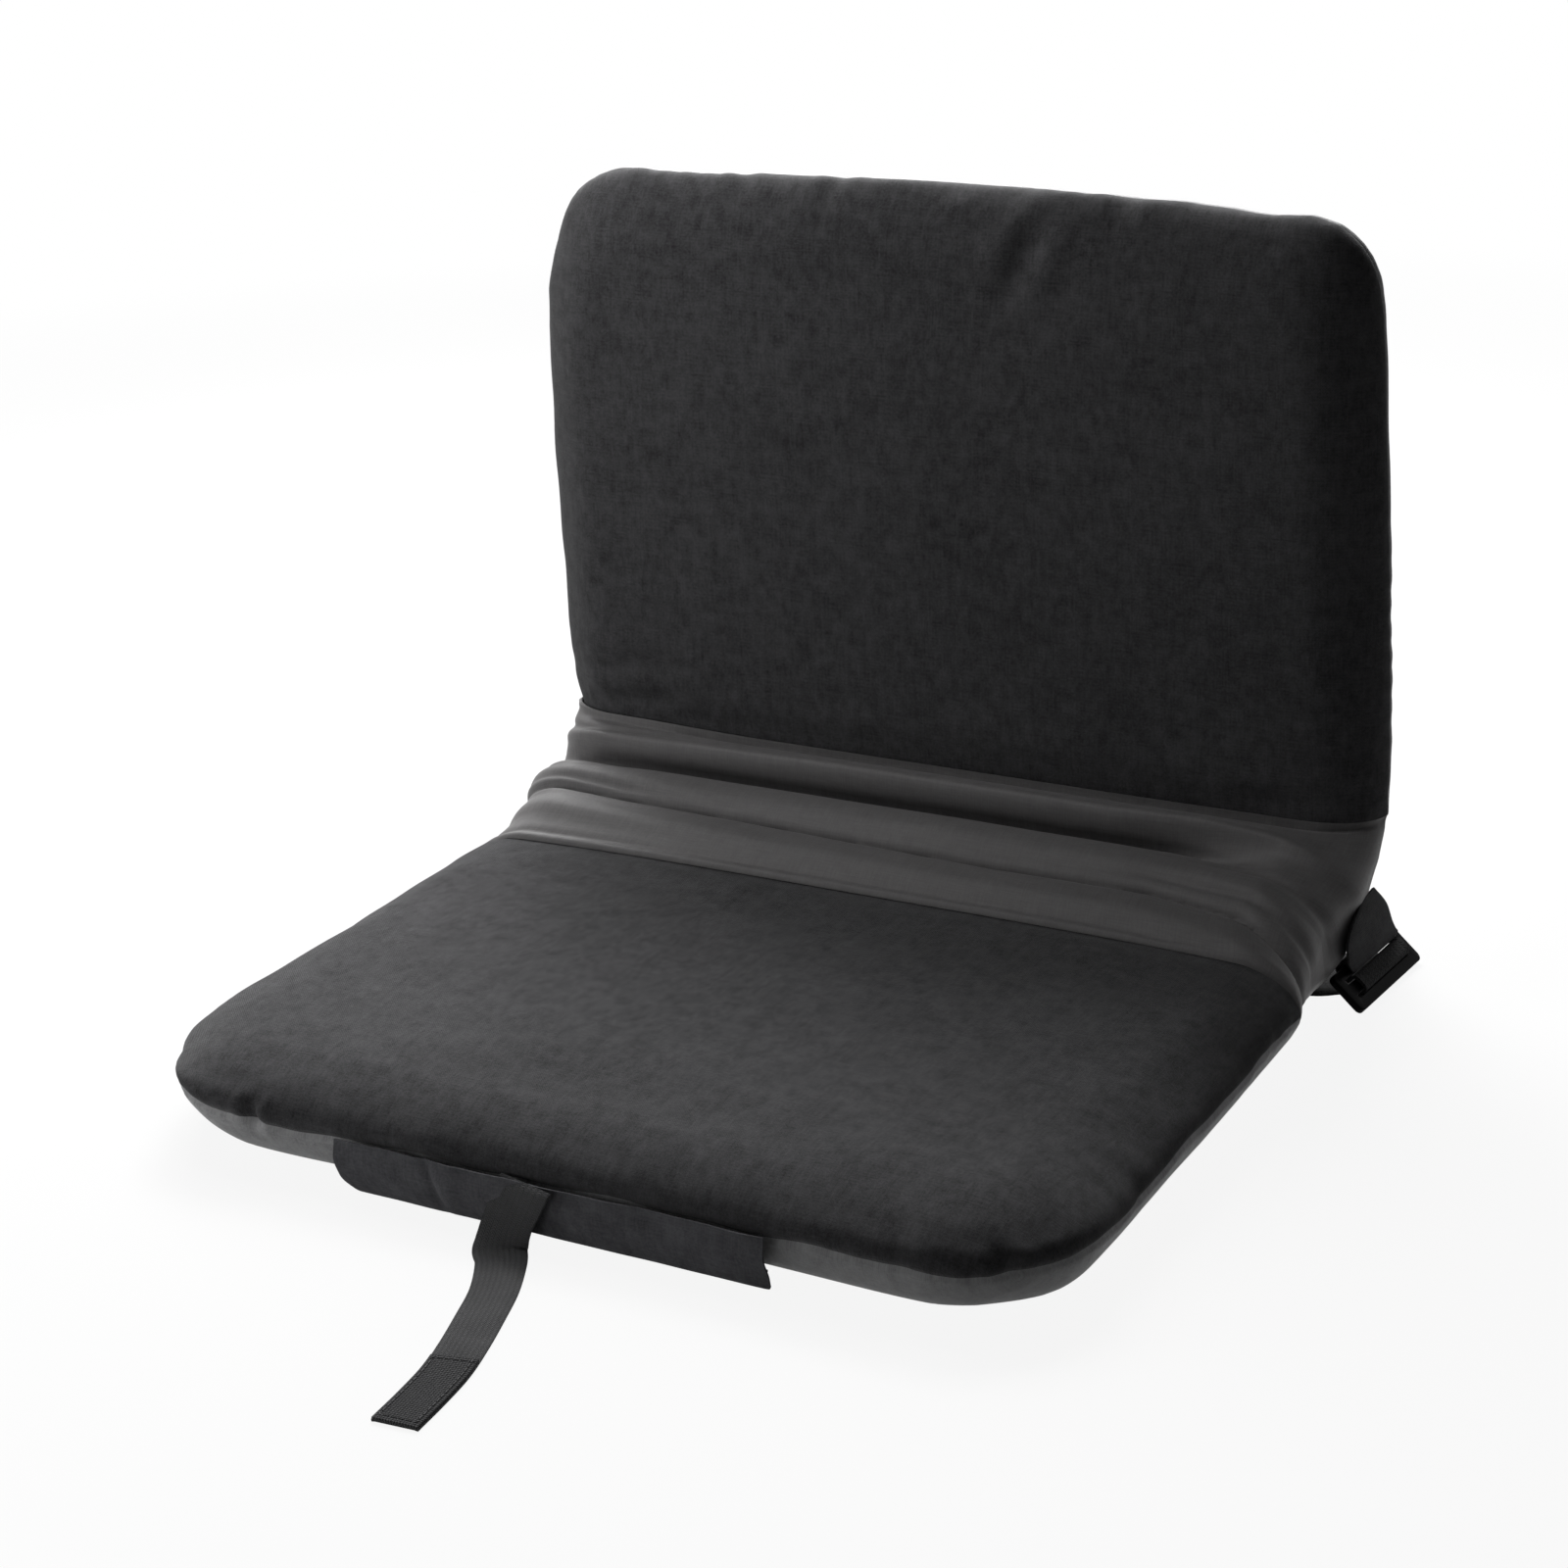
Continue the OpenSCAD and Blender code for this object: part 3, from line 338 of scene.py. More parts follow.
# %% [markdown]
# ## Mesh helpers
# Numbers for whole meshes are quickest in NumPy arrays. Each piece's points are worked out in
# the frame of its own pad: across, along from the hinge, and out from the floor side or rear.

# %% Meshes from arrays
def show(name, data):
    """An object at the origin that shows the data."""
    piece = bpy.data.objects.new(name, data)
    scene.collection.objects.link(piece)
    return piece


@contextmanager
def opened(mesh):
    """A mesh opened for editing, and written back at the end."""
    bm = bmesh.new()
    bm.from_mesh(mesh)
    yield bm
    bm.to_mesh(mesh)
    bm.free()


def unit(vectors):
    """The same directions, each at length 1."""
    return vectors / np.maximum(np.linalg.norm(vectors, axis=-1, keepdims=True), 1e-9)


def face_out(grid):
    """The direction off the outer face at each point of a grid."""
    return unit(np.cross(np.gradient(grid, axis=1), np.gradient(grid, axis=0)))


def corners(node):
    """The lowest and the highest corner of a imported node's box."""
    return [np.array(c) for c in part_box(node)]


def smooth(mesh):
    mesh.polygons.foreach_set("use_smooth", [True] * len(mesh.polygons))


def coat(mesh, material):
    """Give a whole mesh one material and a smooth face."""
    mesh.materials.clear()
    mesh.materials.append(material)
    smooth(mesh)


def make_mesh(name, points, faces, material, uv=None, sharp=60):
    """An object at the origin from points and faces, smooth except over edges sharper than sharp."""
    mesh = bpy.data.meshes.new(name)
    mesh.from_pydata([tuple(p) for p in points], [], [tuple(f) for f in faces])
    smooth(mesh)
    mesh.set_sharp_from_angle(angle=math.radians(sharp))
    mesh.materials.append(material)
    if uv is not None:
        write_uv(mesh, uv)
    return show(name, mesh)


def write_uv(mesh, uv):
    """Store a flat map, in metres, given one pair for each point."""
    layer = mesh.uv_layers.get("cloth") or mesh.uv_layers.new(name="cloth")
    corner = np.zeros(len(mesh.loops), dtype=np.int32)
    mesh.loops.foreach_get("vertex_index", corner)
    layer.data.foreach_set("uv", np.asarray(uv, dtype=np.float32)[corner].ravel())


def triples(items, field):
    flat = np.zeros(len(items) * 3)
    items.foreach_get(field, flat)
    return flat.reshape(-1, 3)


def points_of(mesh):
    return triples(mesh.vertices, "co")


def normals_of(mesh):
    return triples(mesh.vertex_normals, "vector")


def move_to(mesh, points):
    mesh.vertices.foreach_set("co", np.asarray(points).ravel())
    mesh.update()


def made_of(piece):
    """A new mesh of what a piece's curve or modifiers make."""
    graph = bpy.context.evaluated_depsgraph_get()
    return bpy.data.meshes.new_from_object(piece.evaluated_get(graph), depsgraph=graph)


def bake(piece):
    """Replace a piece's mesh with what its modifiers make of it."""
    made = made_of(piece)
    piece.modifiers.clear()
    piece.data = made
    return piece


def remeshed(piece, voxel):
    remesh = piece.modifiers.new("remesh", "REMESH")
    remesh.mode = "VOXEL"
    remesh.voxel_size = voxel
    return bake(piece)


def subdivided(piece):
    finer = piece.modifiers.new("finer", "SUBSURF")
    finer.levels = 1
    finer.render_levels = 1
    return bake(piece)


def cloth_sheet(name, grid, thickness, material, closed=False):
    """A sheet of cloth from a grid of points on its outer face, with a real thickness inside it."""
    rows, columns, _ = grid.shape
    points = np.concatenate([grid.reshape(-1, 3), (grid - face_out(grid) * thickness).reshape(-1, 3)])
    low = rows * columns
    index = np.arange(low).reshape(rows, columns)
    quad = np.stack([index[:-1, :-1], index[:-1, 1:], index[1:, 1:], index[1:, :-1]], -1).reshape(-1, 4)
    faces = [quad, quad[:, ::-1] + low]
    edge = np.concatenate([index[0, :], index[1:, -1], index[-1, -2::-1], index[-2:0:-1, 0]])
    after = np.roll(edge, -1)
    faces.append(np.stack([edge, edge + low, after + low, after], -1))
    step_u = np.linalg.norm(np.diff(grid, axis=1), axis=2).mean(axis=0)
    step_v = np.linalg.norm(np.diff(grid, axis=0), axis=2).mean(axis=1)
    u = np.concatenate([[0], np.cumsum(step_u)])
    v = np.concatenate([[0], np.cumsum(step_v)])
    flat = np.stack(np.meshgrid(u, v), -1).reshape(-1, 2)
    piece = make_mesh(name, points, np.concatenate(faces), material, np.concatenate([flat, flat]), 50)
    return piece, float(u[-1]), float(v[-1])


def smooth_path(points, count):
    """A smooth curve through the points, in count equal shares of their number (Catmull-Rom)."""
    p = np.asarray(points, dtype=float)
    p = np.concatenate([[2 * p[0] - p[1]], p, [2 * p[-1] - p[-2]]])
    t = np.linspace(0, len(p) - 3 - 1e-9, count)
    i = t.astype(int)
    f = (t - i)[:, None]
    a, b, c, d = p[i], p[i + 1], p[i + 2], p[i + 3]
    return 0.5 * (2 * b + (c - a) * f + (2 * a - 5 * b + 4 * c - d) * f**2 + (3 * b - a - 3 * c + d) * f**3)


def ease(x):
    """A smooth step from 0 to 1."""
    x = np.clip(x, 0, 1)
    return x * x * (3 - 2 * x)


# %% [markdown]
# ## Pads
# A padded panel is a foam slab in a sewn cover: a rolled top cloth, and an outer cloth that
# rises to the seam in a soft bevel. A block with rounded edges would look stiff, so the closed
# form is blown up a little as cloth, and the seam, the pulls and the tucks are pressed in after.

# %% The two pads' sizes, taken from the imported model
seat_lo, seat_hi = corners("seat_cover")
back_lo, back_hi = corners("back_cover_front")
seat_pad = {"half": seat_hi[0] + 0.0018, "length": seat_hi[1] - seat_lo[1], "seam": seat_lo[2],
            "thick": seat_hi[2], "corner": (0.055, 0.055), "bow": (0.0015, 0.003)}
back_pad = {"half": back_hi[0], "length": back_hi[2] - back_lo[2], "seam": 0.023, "thick": 0.050,
            "corner": (0.050, 0.045), "bow": (0.0, 0.0)}
seat_rear = float(seat_hi[1])
back_bottom = float(back_lo[2])
back_rear = float(back_lo[1]) + back_pad["thick"]
roll_in = 0.030
bevel_in = 0.021
crown_h = 0.0035
print("seat pad:", seat_pad, "back pad:", back_pad)


def seat_place(p):
    """From the seat pad's own frame to the scene. The same rule leads back."""
    return np.stack([-p[..., 0], seat_rear - p[..., 1], p[..., 2]], -1)


def back_place(p):
    return np.stack([p[..., 0], back_rear - p[..., 2], back_bottom + p[..., 1]], -1)


def back_local(p):
    return np.stack([p[..., 0], p[..., 2] - back_bottom, back_rear - p[..., 1]], -1)


def table(x, *pairs):
    """The value at x on straight lines through the pairs."""
    return np.interp(x, [p[0] for p in pairs], [p[1] for p in pairs])


def askew(x, high):
    """How far the back's cloth sits to one side, from the shifts of its left and right edges."""
    right = np.clip(x / back_pad["half"], -1, 1) / 2 + 0.5
    left_edge = table(high, (0, -0.0043), (0.015, -0.0066), (0.04, -0.0085), (0.065, -0.0096),
                      (0.09, -0.0102), (0.165, -0.0107), (0.195, -0.0103), (0.214, -0.0085),
                      (0.226, -0.0054), (0.238, -0.0034), (0.251, -0.0039), (0.274, -0.005))
    right_edge = table(high, (0, 0.0006), (0.025, 0.0009), (0.06, 0.0008), (0.08, 0.0001),
                       (0.107, -0.001), (0.134, -0.002), (0.186, -0.0042), (0.212, -0.0056),
                       (0.225, -0.0066), (0.238, -0.007), (0.25, -0.0062), (0.262, -0.0052),
                       (0.274, -0.0052))
    return left_edge * (1 - right) + right_edge * right


# %% The outline of a pad and its skin
def outline(pad, overrun):
    """Points round a pad's plan, from the hinge end round the free end and back, with outward directions."""
    half, length = pad["half"], pad["length"]
    turn = np.radians(np.linspace(180, 90, 11))
    sides, outs = [], []
    for r in pad["corner"]:
        side = np.linspace(-overrun, length - r, 26)
        corner = np.stack([-(half - r) + r * np.cos(turn), length - r + r * np.sin(turn)], -1)
        end = np.linspace(-(half - r), 0, 18)
        sides.append(np.concatenate([
            np.stack([np.full(26, -half), side], -1), corner[1:], np.stack([end, np.full(18, length)], -1)[1:]
        ]))
        outs.append(np.concatenate([
            np.tile([-1.0, 0.0], (26, 1)), np.stack([np.cos(turn), np.sin(turn)], -1)[1:],
            np.tile([0.0, 1.0], (17, 1))
        ]))
    flip = np.array([-1, 1])
    points = np.concatenate([sides[0], sides[1][-2::-1] * flip])
    outward = np.concatenate([outs[0], outs[1][-2::-1] * flip])
    r = max(pad["corner"])
    mid_side = np.sin(np.pi * np.clip(points[:, 1] / (length - r), 0, 1)) * (abs(outward[:, 0]) > 0.99)
    mid_end = np.cos(np.pi / 2 * np.clip(abs(points[:, 0]) / (half - r), 0, 1)) * (outward[:, 1] > 0.99)
    side_bow, end_bow = pad["bow"]
    return points - outward * (side_bow * mid_side + end_bow * mid_end)[:, None], outward


def crown(pad, x, y):
    return crown_h * (1 - (abs(x) / pad["half"]) ** 4) * (1 - (abs(y) / pad["length"]) ** 6)


def pad_skin(pad, overrun, swell_room):
    """Points and faces of a closed pad, in its own frame."""
    edge, outward = outline(pad, overrun)
    seam, rise = pad["seam"], pad["thick"] - pad["seam"] - crown_h - swell_room
    rings = []
    for share in (0.12, 0.3, 0.55, 0.8):
        plan = (edge - outward * roll_in) * share + np.array([0, -overrun * (1 - share)])
        rings.append(np.column_stack([plan, seam + rise + crown(pad, *plan.T)]))
    for a in np.radians(np.linspace(90, 6, 9)):
        plan = edge - outward * roll_in * (1 - math.cos(a))
        rings.append(np.column_stack([plan, seam + math.sin(a) * (rise + crown(pad, *plan.T))]))
    for inward, up in ((0, 0.96), (0.04, 0.86), (0.14, 0.7), (0.3, 0.48), (0.47, 0.3), (0.64, 0.16), (1, 0)):
        plan = edge - outward * bevel_in * inward
        rings.append(np.column_stack([plan, np.full(len(plan), seam * up)]))
    for share in (0.7, 0.35):
        plan = (edge - outward * bevel_in) * share + np.array([0, -overrun * (1 - share)])
        rings.append(np.column_stack([plan, np.zeros(len(plan))]))
    count = len(edge)
    faces = []
    for q in range(len(rings) - 1):
        a = q * count
        faces += [(a + k, a + count + k, a + count + k + 1, a + k + 1) for k in range(count - 1)]
    top, bottom = len(rings) * count, len(rings) * count + 1
    last = (len(rings) - 1) * count
    faces += [(top, k, k + 1) for k in range(count - 1)]
    faces += [(bottom, last + k + 1, last + k) for k in range(count - 1)]
    left = [q * count for q in range(len(rings))]
    right = [q * count + count - 1 for q in range(len(rings))]
    faces.append([top] + right + [bottom] + left[::-1])
    middle = [[0, -overrun, seam + rise + crown_h], [0, -overrun, 0]]
    return np.concatenate(rings + [np.array(middle)]), faces


# %% [markdown]
# ## Swelling the pads as cloth
# A real cover is cut a little full and stuffed tight. Blender's cloth with air pressure does the
# same: the seam and the hinge end are held, the rest swells, and a cap keeps it within reach.

# %% Cloth under pressure
def calmed(mesh, move, held, rounds):
    """Average each point's move with its neighbours', so that the broad swelling is left."""
    ends = np.zeros(len(mesh.edges) * 2, dtype=np.int32)
    mesh.edges.foreach_get("vertices", ends)
    a, b = ends.reshape(-1, 2).T
    count = np.bincount(ends, minlength=len(move)) + 1.0
    for _ in range(rounds):
        total = [move[:, k] + np.bincount(a, move[b, k], len(move)) + np.bincount(b, move[a, k], len(move))
                 for k in range(3)]
        move = np.stack(total, -1) / count[:, None]
        move[held] = 0
    return move


def swell(piece, held, reach, fullness):
    """Blow a closed mesh up for 20 frames, then keep each point within reach of where it was."""
    before = points_of(piece.data)
    outward = normals_of(piece.data)
    group = piece.vertex_groups.new(name="held")
    group.add([int(i) for i in np.nonzero(held)[0]], 1.0, "REPLACE")
    cloth = piece.modifiers.new("cloth", "CLOTH")
    choices = {
        "quality": 5, "mass": 0.2, "tension_stiffness": 15, "compression_stiffness": 15, "shear_stiffness": 6,
        "bending_stiffness": 0.6, "vertex_group_mass": "held", "use_pressure": True,
        "uniform_pressure_force": 4, "shrink_min": -fullness,
    }
    for key, value in choices.items():
        setattr(cloth.settings, key, value)
    cloth.settings.effector_weights.gravity = 0
    cloth.point_cache.frame_end = 20
    for number in range(1, 21):
        scene.frame_set(number)
    graph = bpy.context.evaluated_depsgraph_get()
    after = points_of(piece.evaluated_get(graph).data)
    piece.modifiers.clear()
    piece.vertex_groups.clear()
    scene.frame_set(1)
    move = after - before
    inward = np.minimum(np.einsum("ij,ij->i", move, outward) - 0.0006, 0)
    move -= outward * inward[:, None]
    move = 0.82 * calmed(piece.data, move, held, 22) + 0.18 * move
    length = np.linalg.norm(move, axis=1, keepdims=True)
    move *= np.minimum(1, reach / np.maximum(length, 1e-9))
    move_to(piece.data, before + move)
    print(piece.name, "swelled by up to", round(float(np.linalg.norm(move, axis=1).max()) * 1000, 1), "mm")


def pad_body(name, pad, place, local):
    """A closed pad, remeshed evenly, swelled as cloth and subdivided once."""
    points, faces = pad_skin(pad, 0.015, 0.0025)
    piece = make_mesh(name, place(points), faces, cover_cloth)
    with opened(piece.data) as bm:
        bmesh.ops.triangulate(bm, faces=bm.faces)
        bmesh.ops.recalc_face_normals(bm, faces=bm.faces)
    remeshed(piece, 0.0045)
    p = local(points_of(piece.data))
    held = (abs(p[:, 2] - pad["seam"]) < 0.0028) | (p[:, 1] < 0.006) | (p[:, 2] < 0.0025)
    swell(piece, held, 0.004, 0.02)
    return subdivided(piece)


# %% [markdown]
# ## Seam, pulls and tucks
# The seam is a line that the thread draws in, with small puckers beside it. A pull is a short
# crease with a soft ridge on each side. Each is a smooth push on the points near it.

# %% Pushes on a mesh
def crease(p, n, a, b, width, depth, ridge=0.5):
    """Move points p along -n near the line a to b, and raise a soft ridge on each side of it."""
    a, b = np.asarray(a, float), np.asarray(b, float)
    along = b - a
    t = np.clip(((p - a) @ along) / (along @ along), 0, 1)
    gap = np.linalg.norm(p - a - t[:, None] * along, axis=1)
    taper = np.sqrt(np.clip(np.sin(np.pi * np.clip(t, 0.04, 0.96)), 0, 1))
    push = -np.exp(-(gap / width) ** 2) + ridge * np.exp(-((gap - 1.9 * width) / width) ** 2)
    return p + n * (push * depth * taper)[:, None]


def beside_seam(pad, p):
    """For points near the seam: how far round the outline they are, and the outward direction."""
    edge, outward = outline(pad, 0)
    run = np.concatenate([[0], np.cumsum(np.linalg.norm(np.diff(edge, axis=0), axis=1))])
    dense = np.linspace(0, run[-1], 700)
    ex = np.interp(dense, run, edge[:, 0])
    ey = np.interp(dense, run, edge[:, 1])
    nearest = np.argmin((p[:, 0, None] - ex) ** 2 + (p[:, 1, None] - ey) ** 2, axis=1)
    ox = np.interp(dense[nearest], run, outward[:, 0])
    oy = np.interp(dense[nearest], run, outward[:, 1])
    return dense[nearest], unit(np.stack([ox, oy], -1))


def sew(pad, p, lip):
    """Draw the seam in, pucker the cloth beside it, and let the top cloth's roll hang over it."""
    above = p[:, 2] - pad["seam"]
    near = (abs(above) < 0.03) & (p[:, 1] > 0.0)
    q = p[near]
    run, away = beside_seam(pad, q)
    h = above[near]
    outer = ease((np.einsum("ij,ij->i", q[:, :2] - [0, pad["length"] / 2], away) - 0.05) / 0.06)
    wander = 0.6 * np.sin(run * 61) + 0.4 * np.sin(run * 143 + 1.3)
    pucker = np.sin(run * 390 + 4 * np.sin(run * 37)) * np.clip(0.35 + 0.65 * np.sin(run * 23 + 0.7), 0, 1)
    draw = -0.0016 * np.exp(-(h / 0.0016) ** 2)
    draw += 0.0002 * pucker * np.exp(-((abs(h) - 0.004) / 0.0045) ** 2)
    draw += lip * np.exp(-((h - 0.0085) / 0.006) ** 2) * (1 + 0.25 * wander)
    fade = outer * ease(q[:, 1] / 0.02)
    q[:, :2] += away * (draw * fade)[:, None]
    q[:, 2] += 0.0012 * wander * np.exp(-(h / 0.01) ** 2) * fade
    p[near] = q
    return p


def flat_map(pad, p):
    """A flat map in metres: the plan, let out where the cloth goes down over the edge."""
    drop = np.where(p[:, 2] > pad["seam"], pad["thick"] - p[:, 2], p[:, 2]) / 0.025
    _, away = beside_seam(pad, p)
    return p[:, :2] + away * (0.013 * np.clip(drop, 0, 1) ** 1.5)[:, None]


# %% Cutting a pad at its seam
def cut_pad(piece, pad, place, local, names):
    """Loops beside the seam, the hinge end opened, and the two cloths as pieces of their own."""
    def plane(bm, axis, value, clear=False):
        at, step = np.zeros(3), np.zeros(3)
        at[axis], step[axis] = value, value + 1
        origin = place(at)
        geometry = list(bm.verts) + list(bm.edges) + list(bm.faces)
        bmesh.ops.bisect_plane(bm, geom=geometry, dist=1e-6, plane_co=origin,
                               plane_no=place(step) - origin, clear_inner=clear)

    with opened(piece.data) as bm:
        plane(bm, 1, 0.0, True)
        for offset in (-0.0034, -0.0017, 0.0, 0.0017, 0.0034):
            plane(bm, 2, pad["seam"] + offset)
    pieces = []
    for name, upper in zip(names, (True, False)):
        mesh = piece.data.copy()
        mesh.name = name
        with opened(mesh) as bm:
            doomed = []
            for face in bm.faces:
                w = local(np.array(face.calc_center_median()))[2]
                if (w > pad["seam"]) != upper:
                    doomed.append(face)
            bmesh.ops.delete(bm, geom=doomed, context="FACES")
        pieces.append(show(name, mesh))
    bpy.data.objects.remove(piece)
    return pieces


# %% The seat pad
def settle_seat(pad, p):
    """The seat's front corners are stuffed less, so they clear the floor, and its left edge wanders."""
    for side, lift, wide in ((-1, 0.0036, 0.035), (1, 0.0068, 0.032)):
        gap = np.hypot(p[:, 0] - side * (pad["half"] - 0.015), p[:, 1] - pad["length"] + 0.015)
        low = np.clip(1 - p[:, 2] / (pad["seam"] + 0.012), 0, 1) ** 0.6
        p[:, 2] += lift * low * np.exp(-(gap / wide) ** 2)
    front = ease((p[:, 1] - pad["length"] + 0.04) / 0.02)
    p[:, 2] += 0.0011 * np.clip(1 - p[:, 2] / pad["seam"], 0, 1) * front
    left_edge = table(p[:, 1], (0, 0.0018), (0.03, 0.0016), (0.107, 0.001), (0.133, 0.0026), (0.157, 0.003),
                      (0.181, 0.0028), (0.204, 0.002), (0.225, -0.0012), (0.244, -0.0056), (0.262, -0.003),
                      (0.275, 0.001))
    right_edge = table(p[:, 1], (0, 0.0031), (0.03, 0.0023), (0.055, 0.0014), (0.08, 0.0005), (0.1, 0))
    p[:, 0] += left_edge * np.clip(p[:, 0] / pad["half"], 0, 1) ** 2
    p[:, 0] += right_edge * np.clip(-p[:, 0] / pad["half"], 0, 1) ** 2
    return p


def settle_back(pad, p):
    """The back's cloth leans to the left, and its top edge rises and falls a little."""
    top = table(p[:, 0], (-0.2, 0.0028), (-0.15, -0.0001), (-0.12, 0.0001), (-0.104, 0.0012),
                (-0.06, 0.0021), (-0.02, 0.0032), (0.05, 0.0026), (0.09, 0.0016), (0.12, 0.0008),
                (0.14, -0.0009), (0.16, -0.0024), (0.175, -0.0006), (0.19, 0.0014))
    p[:, 1] += top * ease((p[:, 1] - pad["length"] + 0.05) / 0.04)
    p[:, 0] += askew(p[:, 0], p[:, 1])
    return p


def dress_pad(pieces, pad, place, local, lip, creases, materials, settle):
    """Shape both cloths of a pad with the same pushes, so that they still meet at the seam."""
    for part, material in zip(pieces, materials):
        mesh = part.data
        p = local(points_of(mesh))
        n = local(points_of(mesh) + normals_of(mesh)) - p
        for line in creases:
            p = crease(p, n, *line)
        p = settle(pad, sew(pad, p, lip))
        p[:, 2] = np.maximum(p[:, 2], 0.0002)
        # The crown stays low enough for the two faces to lie on each other when the seat is folded.
        knee = pad["thick"] - 0.003
        p[:, 2] = np.where(p[:, 2] > knee, knee + (p[:, 2] - knee) * 0.68, p[:, 2])
        write_uv(mesh, flat_map(pad, p))
        move_to(mesh, place(p))
        coat(mesh, material)
        print(part.name, len(mesh.polygons), "faces")


seat_creases = [
    ((0.146, 0.272, 0.038), (0.147, 0.275, 0.020), 0.0035, 0.0026),
    ((0.120, 0.270, 0.043), (0.112, 0.276, 0.030), 0.006, 0.001),
    ((-0.190, 0.262, 0.040), (-0.196, 0.258, 0.022), 0.004, 0.0018),
    ((-0.150, 0.266, 0.044), (-0.158, 0.273, 0.027), 0.006, 0.001),
    ((-0.020, 0.262, 0.047), (-0.035, 0.275, 0.030), 0.007, 0.0009),
    ((0.060, 0.266, 0.046), (0.045, 0.275, 0.030), 0.007, 0.0008),
    ((-0.205, 0.190, 0.040), (-0.213, 0.186, 0.026), 0.006, 0.0009),
]
seat_body = pad_body("seat_body", seat_pad, seat_place, seat_place)
seat_cover, seat_underside = cut_pad(seat_body, seat_pad, seat_place, seat_place,
                                     ("cover_of_seat", "underside_of_seat"))
dress_pad([seat_cover, seat_underside], seat_pad, seat_place, seat_place, 0.0022, seat_creases,
          [cover_cloth, underside_cloth], settle_seat)

# %% The back pad
back_creases = [
    ((0.020, 0.274, 0.040), (0.003, 0.264, 0.049), 0.003, 0.0022),
    ((0.034, 0.268, 0.047), (0.022, 0.254, 0.050), 0.0045, 0.0015),
    ((0.060, 0.272, 0.046), (0.041, 0.232, 0.050), 0.0065, 0.0025, 0.7),
    ((-0.105, 0.274, 0.020), (-0.100, 0.264, 0.045), 0.005, 0.0009),
    ((-0.051, 0.274, 0.020), (-0.056, 0.264, 0.045), 0.005, 0.0009),
    ((0.095, 0.274, 0.020), (0.088, 0.262, 0.046), 0.006, 0.0008),
    ((-0.205, 0.020, 0.036), (-0.150, 0.034, 0.049), 0.006, 0.0018),
    ((-0.200, 0.010, 0.040), (-0.140, 0.016, 0.050), 0.005, 0.0016),
    ((0.150, 0.008, 0.049), (0.208, 0.014, 0.036), 0.005, 0.0020),
]
back_body = pad_body("back_body", back_pad, back_place, back_local)
back_cover, back_rear_cloth = cut_pad(back_body, back_pad, back_place, back_local,
                                      ("cover_of_back", "rear_of_back"))
dress_pad([back_cover, back_rear_cloth], back_pad, back_place, back_local, 0.0012, back_creases,
          [cover_cloth, underside_cloth], settle_back)

# %% [markdown]
# ## Bodies of the pads
# Each seated piece follows one of the two imported bodies, and the imported solid that it replaces is hidden.

# %% Seating the pads' cloths
def seat_piece(piece, body, nodes):
    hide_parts(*nodes)
    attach(piece, body)


def seat_sheet(made, body, node):
    """Seat a sheet, given with its flat width and length."""
    piece, wide, long = made
    seat_piece(piece, body, [node])
    print(piece.name, "-", round(wide, 3), "by", round(long, 3), "m")
    return piece


seat_piece(seat_cover, "seat", ["seat_cover"])
seat_piece(back_cover, "back", ["back_cover_front"])
seat_piece(back_rear_cloth, "back", ["back_cover_rear"])
print("pads seated")

# %% The underside's tail
# The grey cloth runs on flat under the hinge, so a strip joins the pad's bottom.
tail_half = 0.185
tail_x = np.linspace(-tail_half, tail_half, 48)
tail_y = np.linspace(seat_rear - 0.004, corners("seat_underside")[1][1], 16)
tail_grid = np.stack(np.meshgrid(tail_x, tail_y), -1)
tail_z = 0.0014 + 0.0003 * np.sin(tail_grid[..., 0] * 60 + tail_grid[..., 1] * 90)
tail_grid = np.dstack([tail_grid, tail_z])
underside_tail, _, _ = cloth_sheet("tail_of_underside", tail_grid, 0.0012, underside_cloth)
seat_piece(seat_underside, "seat", ["seat_underside"])
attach(underside_tail, "seat")
print("tail of the underside:", round(float(tail_y[-1] - tail_y[0]), 3), "m long")

# %% [markdown]
# ## The sleeve over the hinge
# A thin, shiny cloth is stretched from pad to pad, and the hinge's arms push it into long folds:
# a sharp ridge under the back, a deep groove, a broad panel, a thin crease and a lower strip.
# Each fold is a bump along the sleeve whose place and strength change from side to side.

# %% Folds of the band
def bell(v, centre, below, above):
    """A smooth bump of height 1, with its own reach on each side of the centre."""
    d = v - centre
    return np.exp(-(np.where(d < 0, d / below, d / above)) ** 2)


def sagged(v, x):
    """The share along the band, corrected for the folds that sink at its right end."""
    sag = table(x, (-0.215, 0.0), (0.13, 0.0), (0.175, -0.07), (0.215, -0.27))
    return v - sag * np.clip(1.25 - v, 0, 1)


def fold_lean(v, x):
    """How far the ridge under the back hangs forward over its groove, in metres."""
    reach = table(x, (-0.215, 0.1), (-0.18, 0.8), (-0.13, 1), (0.1, 1), (0.17, 0))
    return -0.0046 * bell(sagged(v, x), 0.815, 0.05, 0.09) * reach


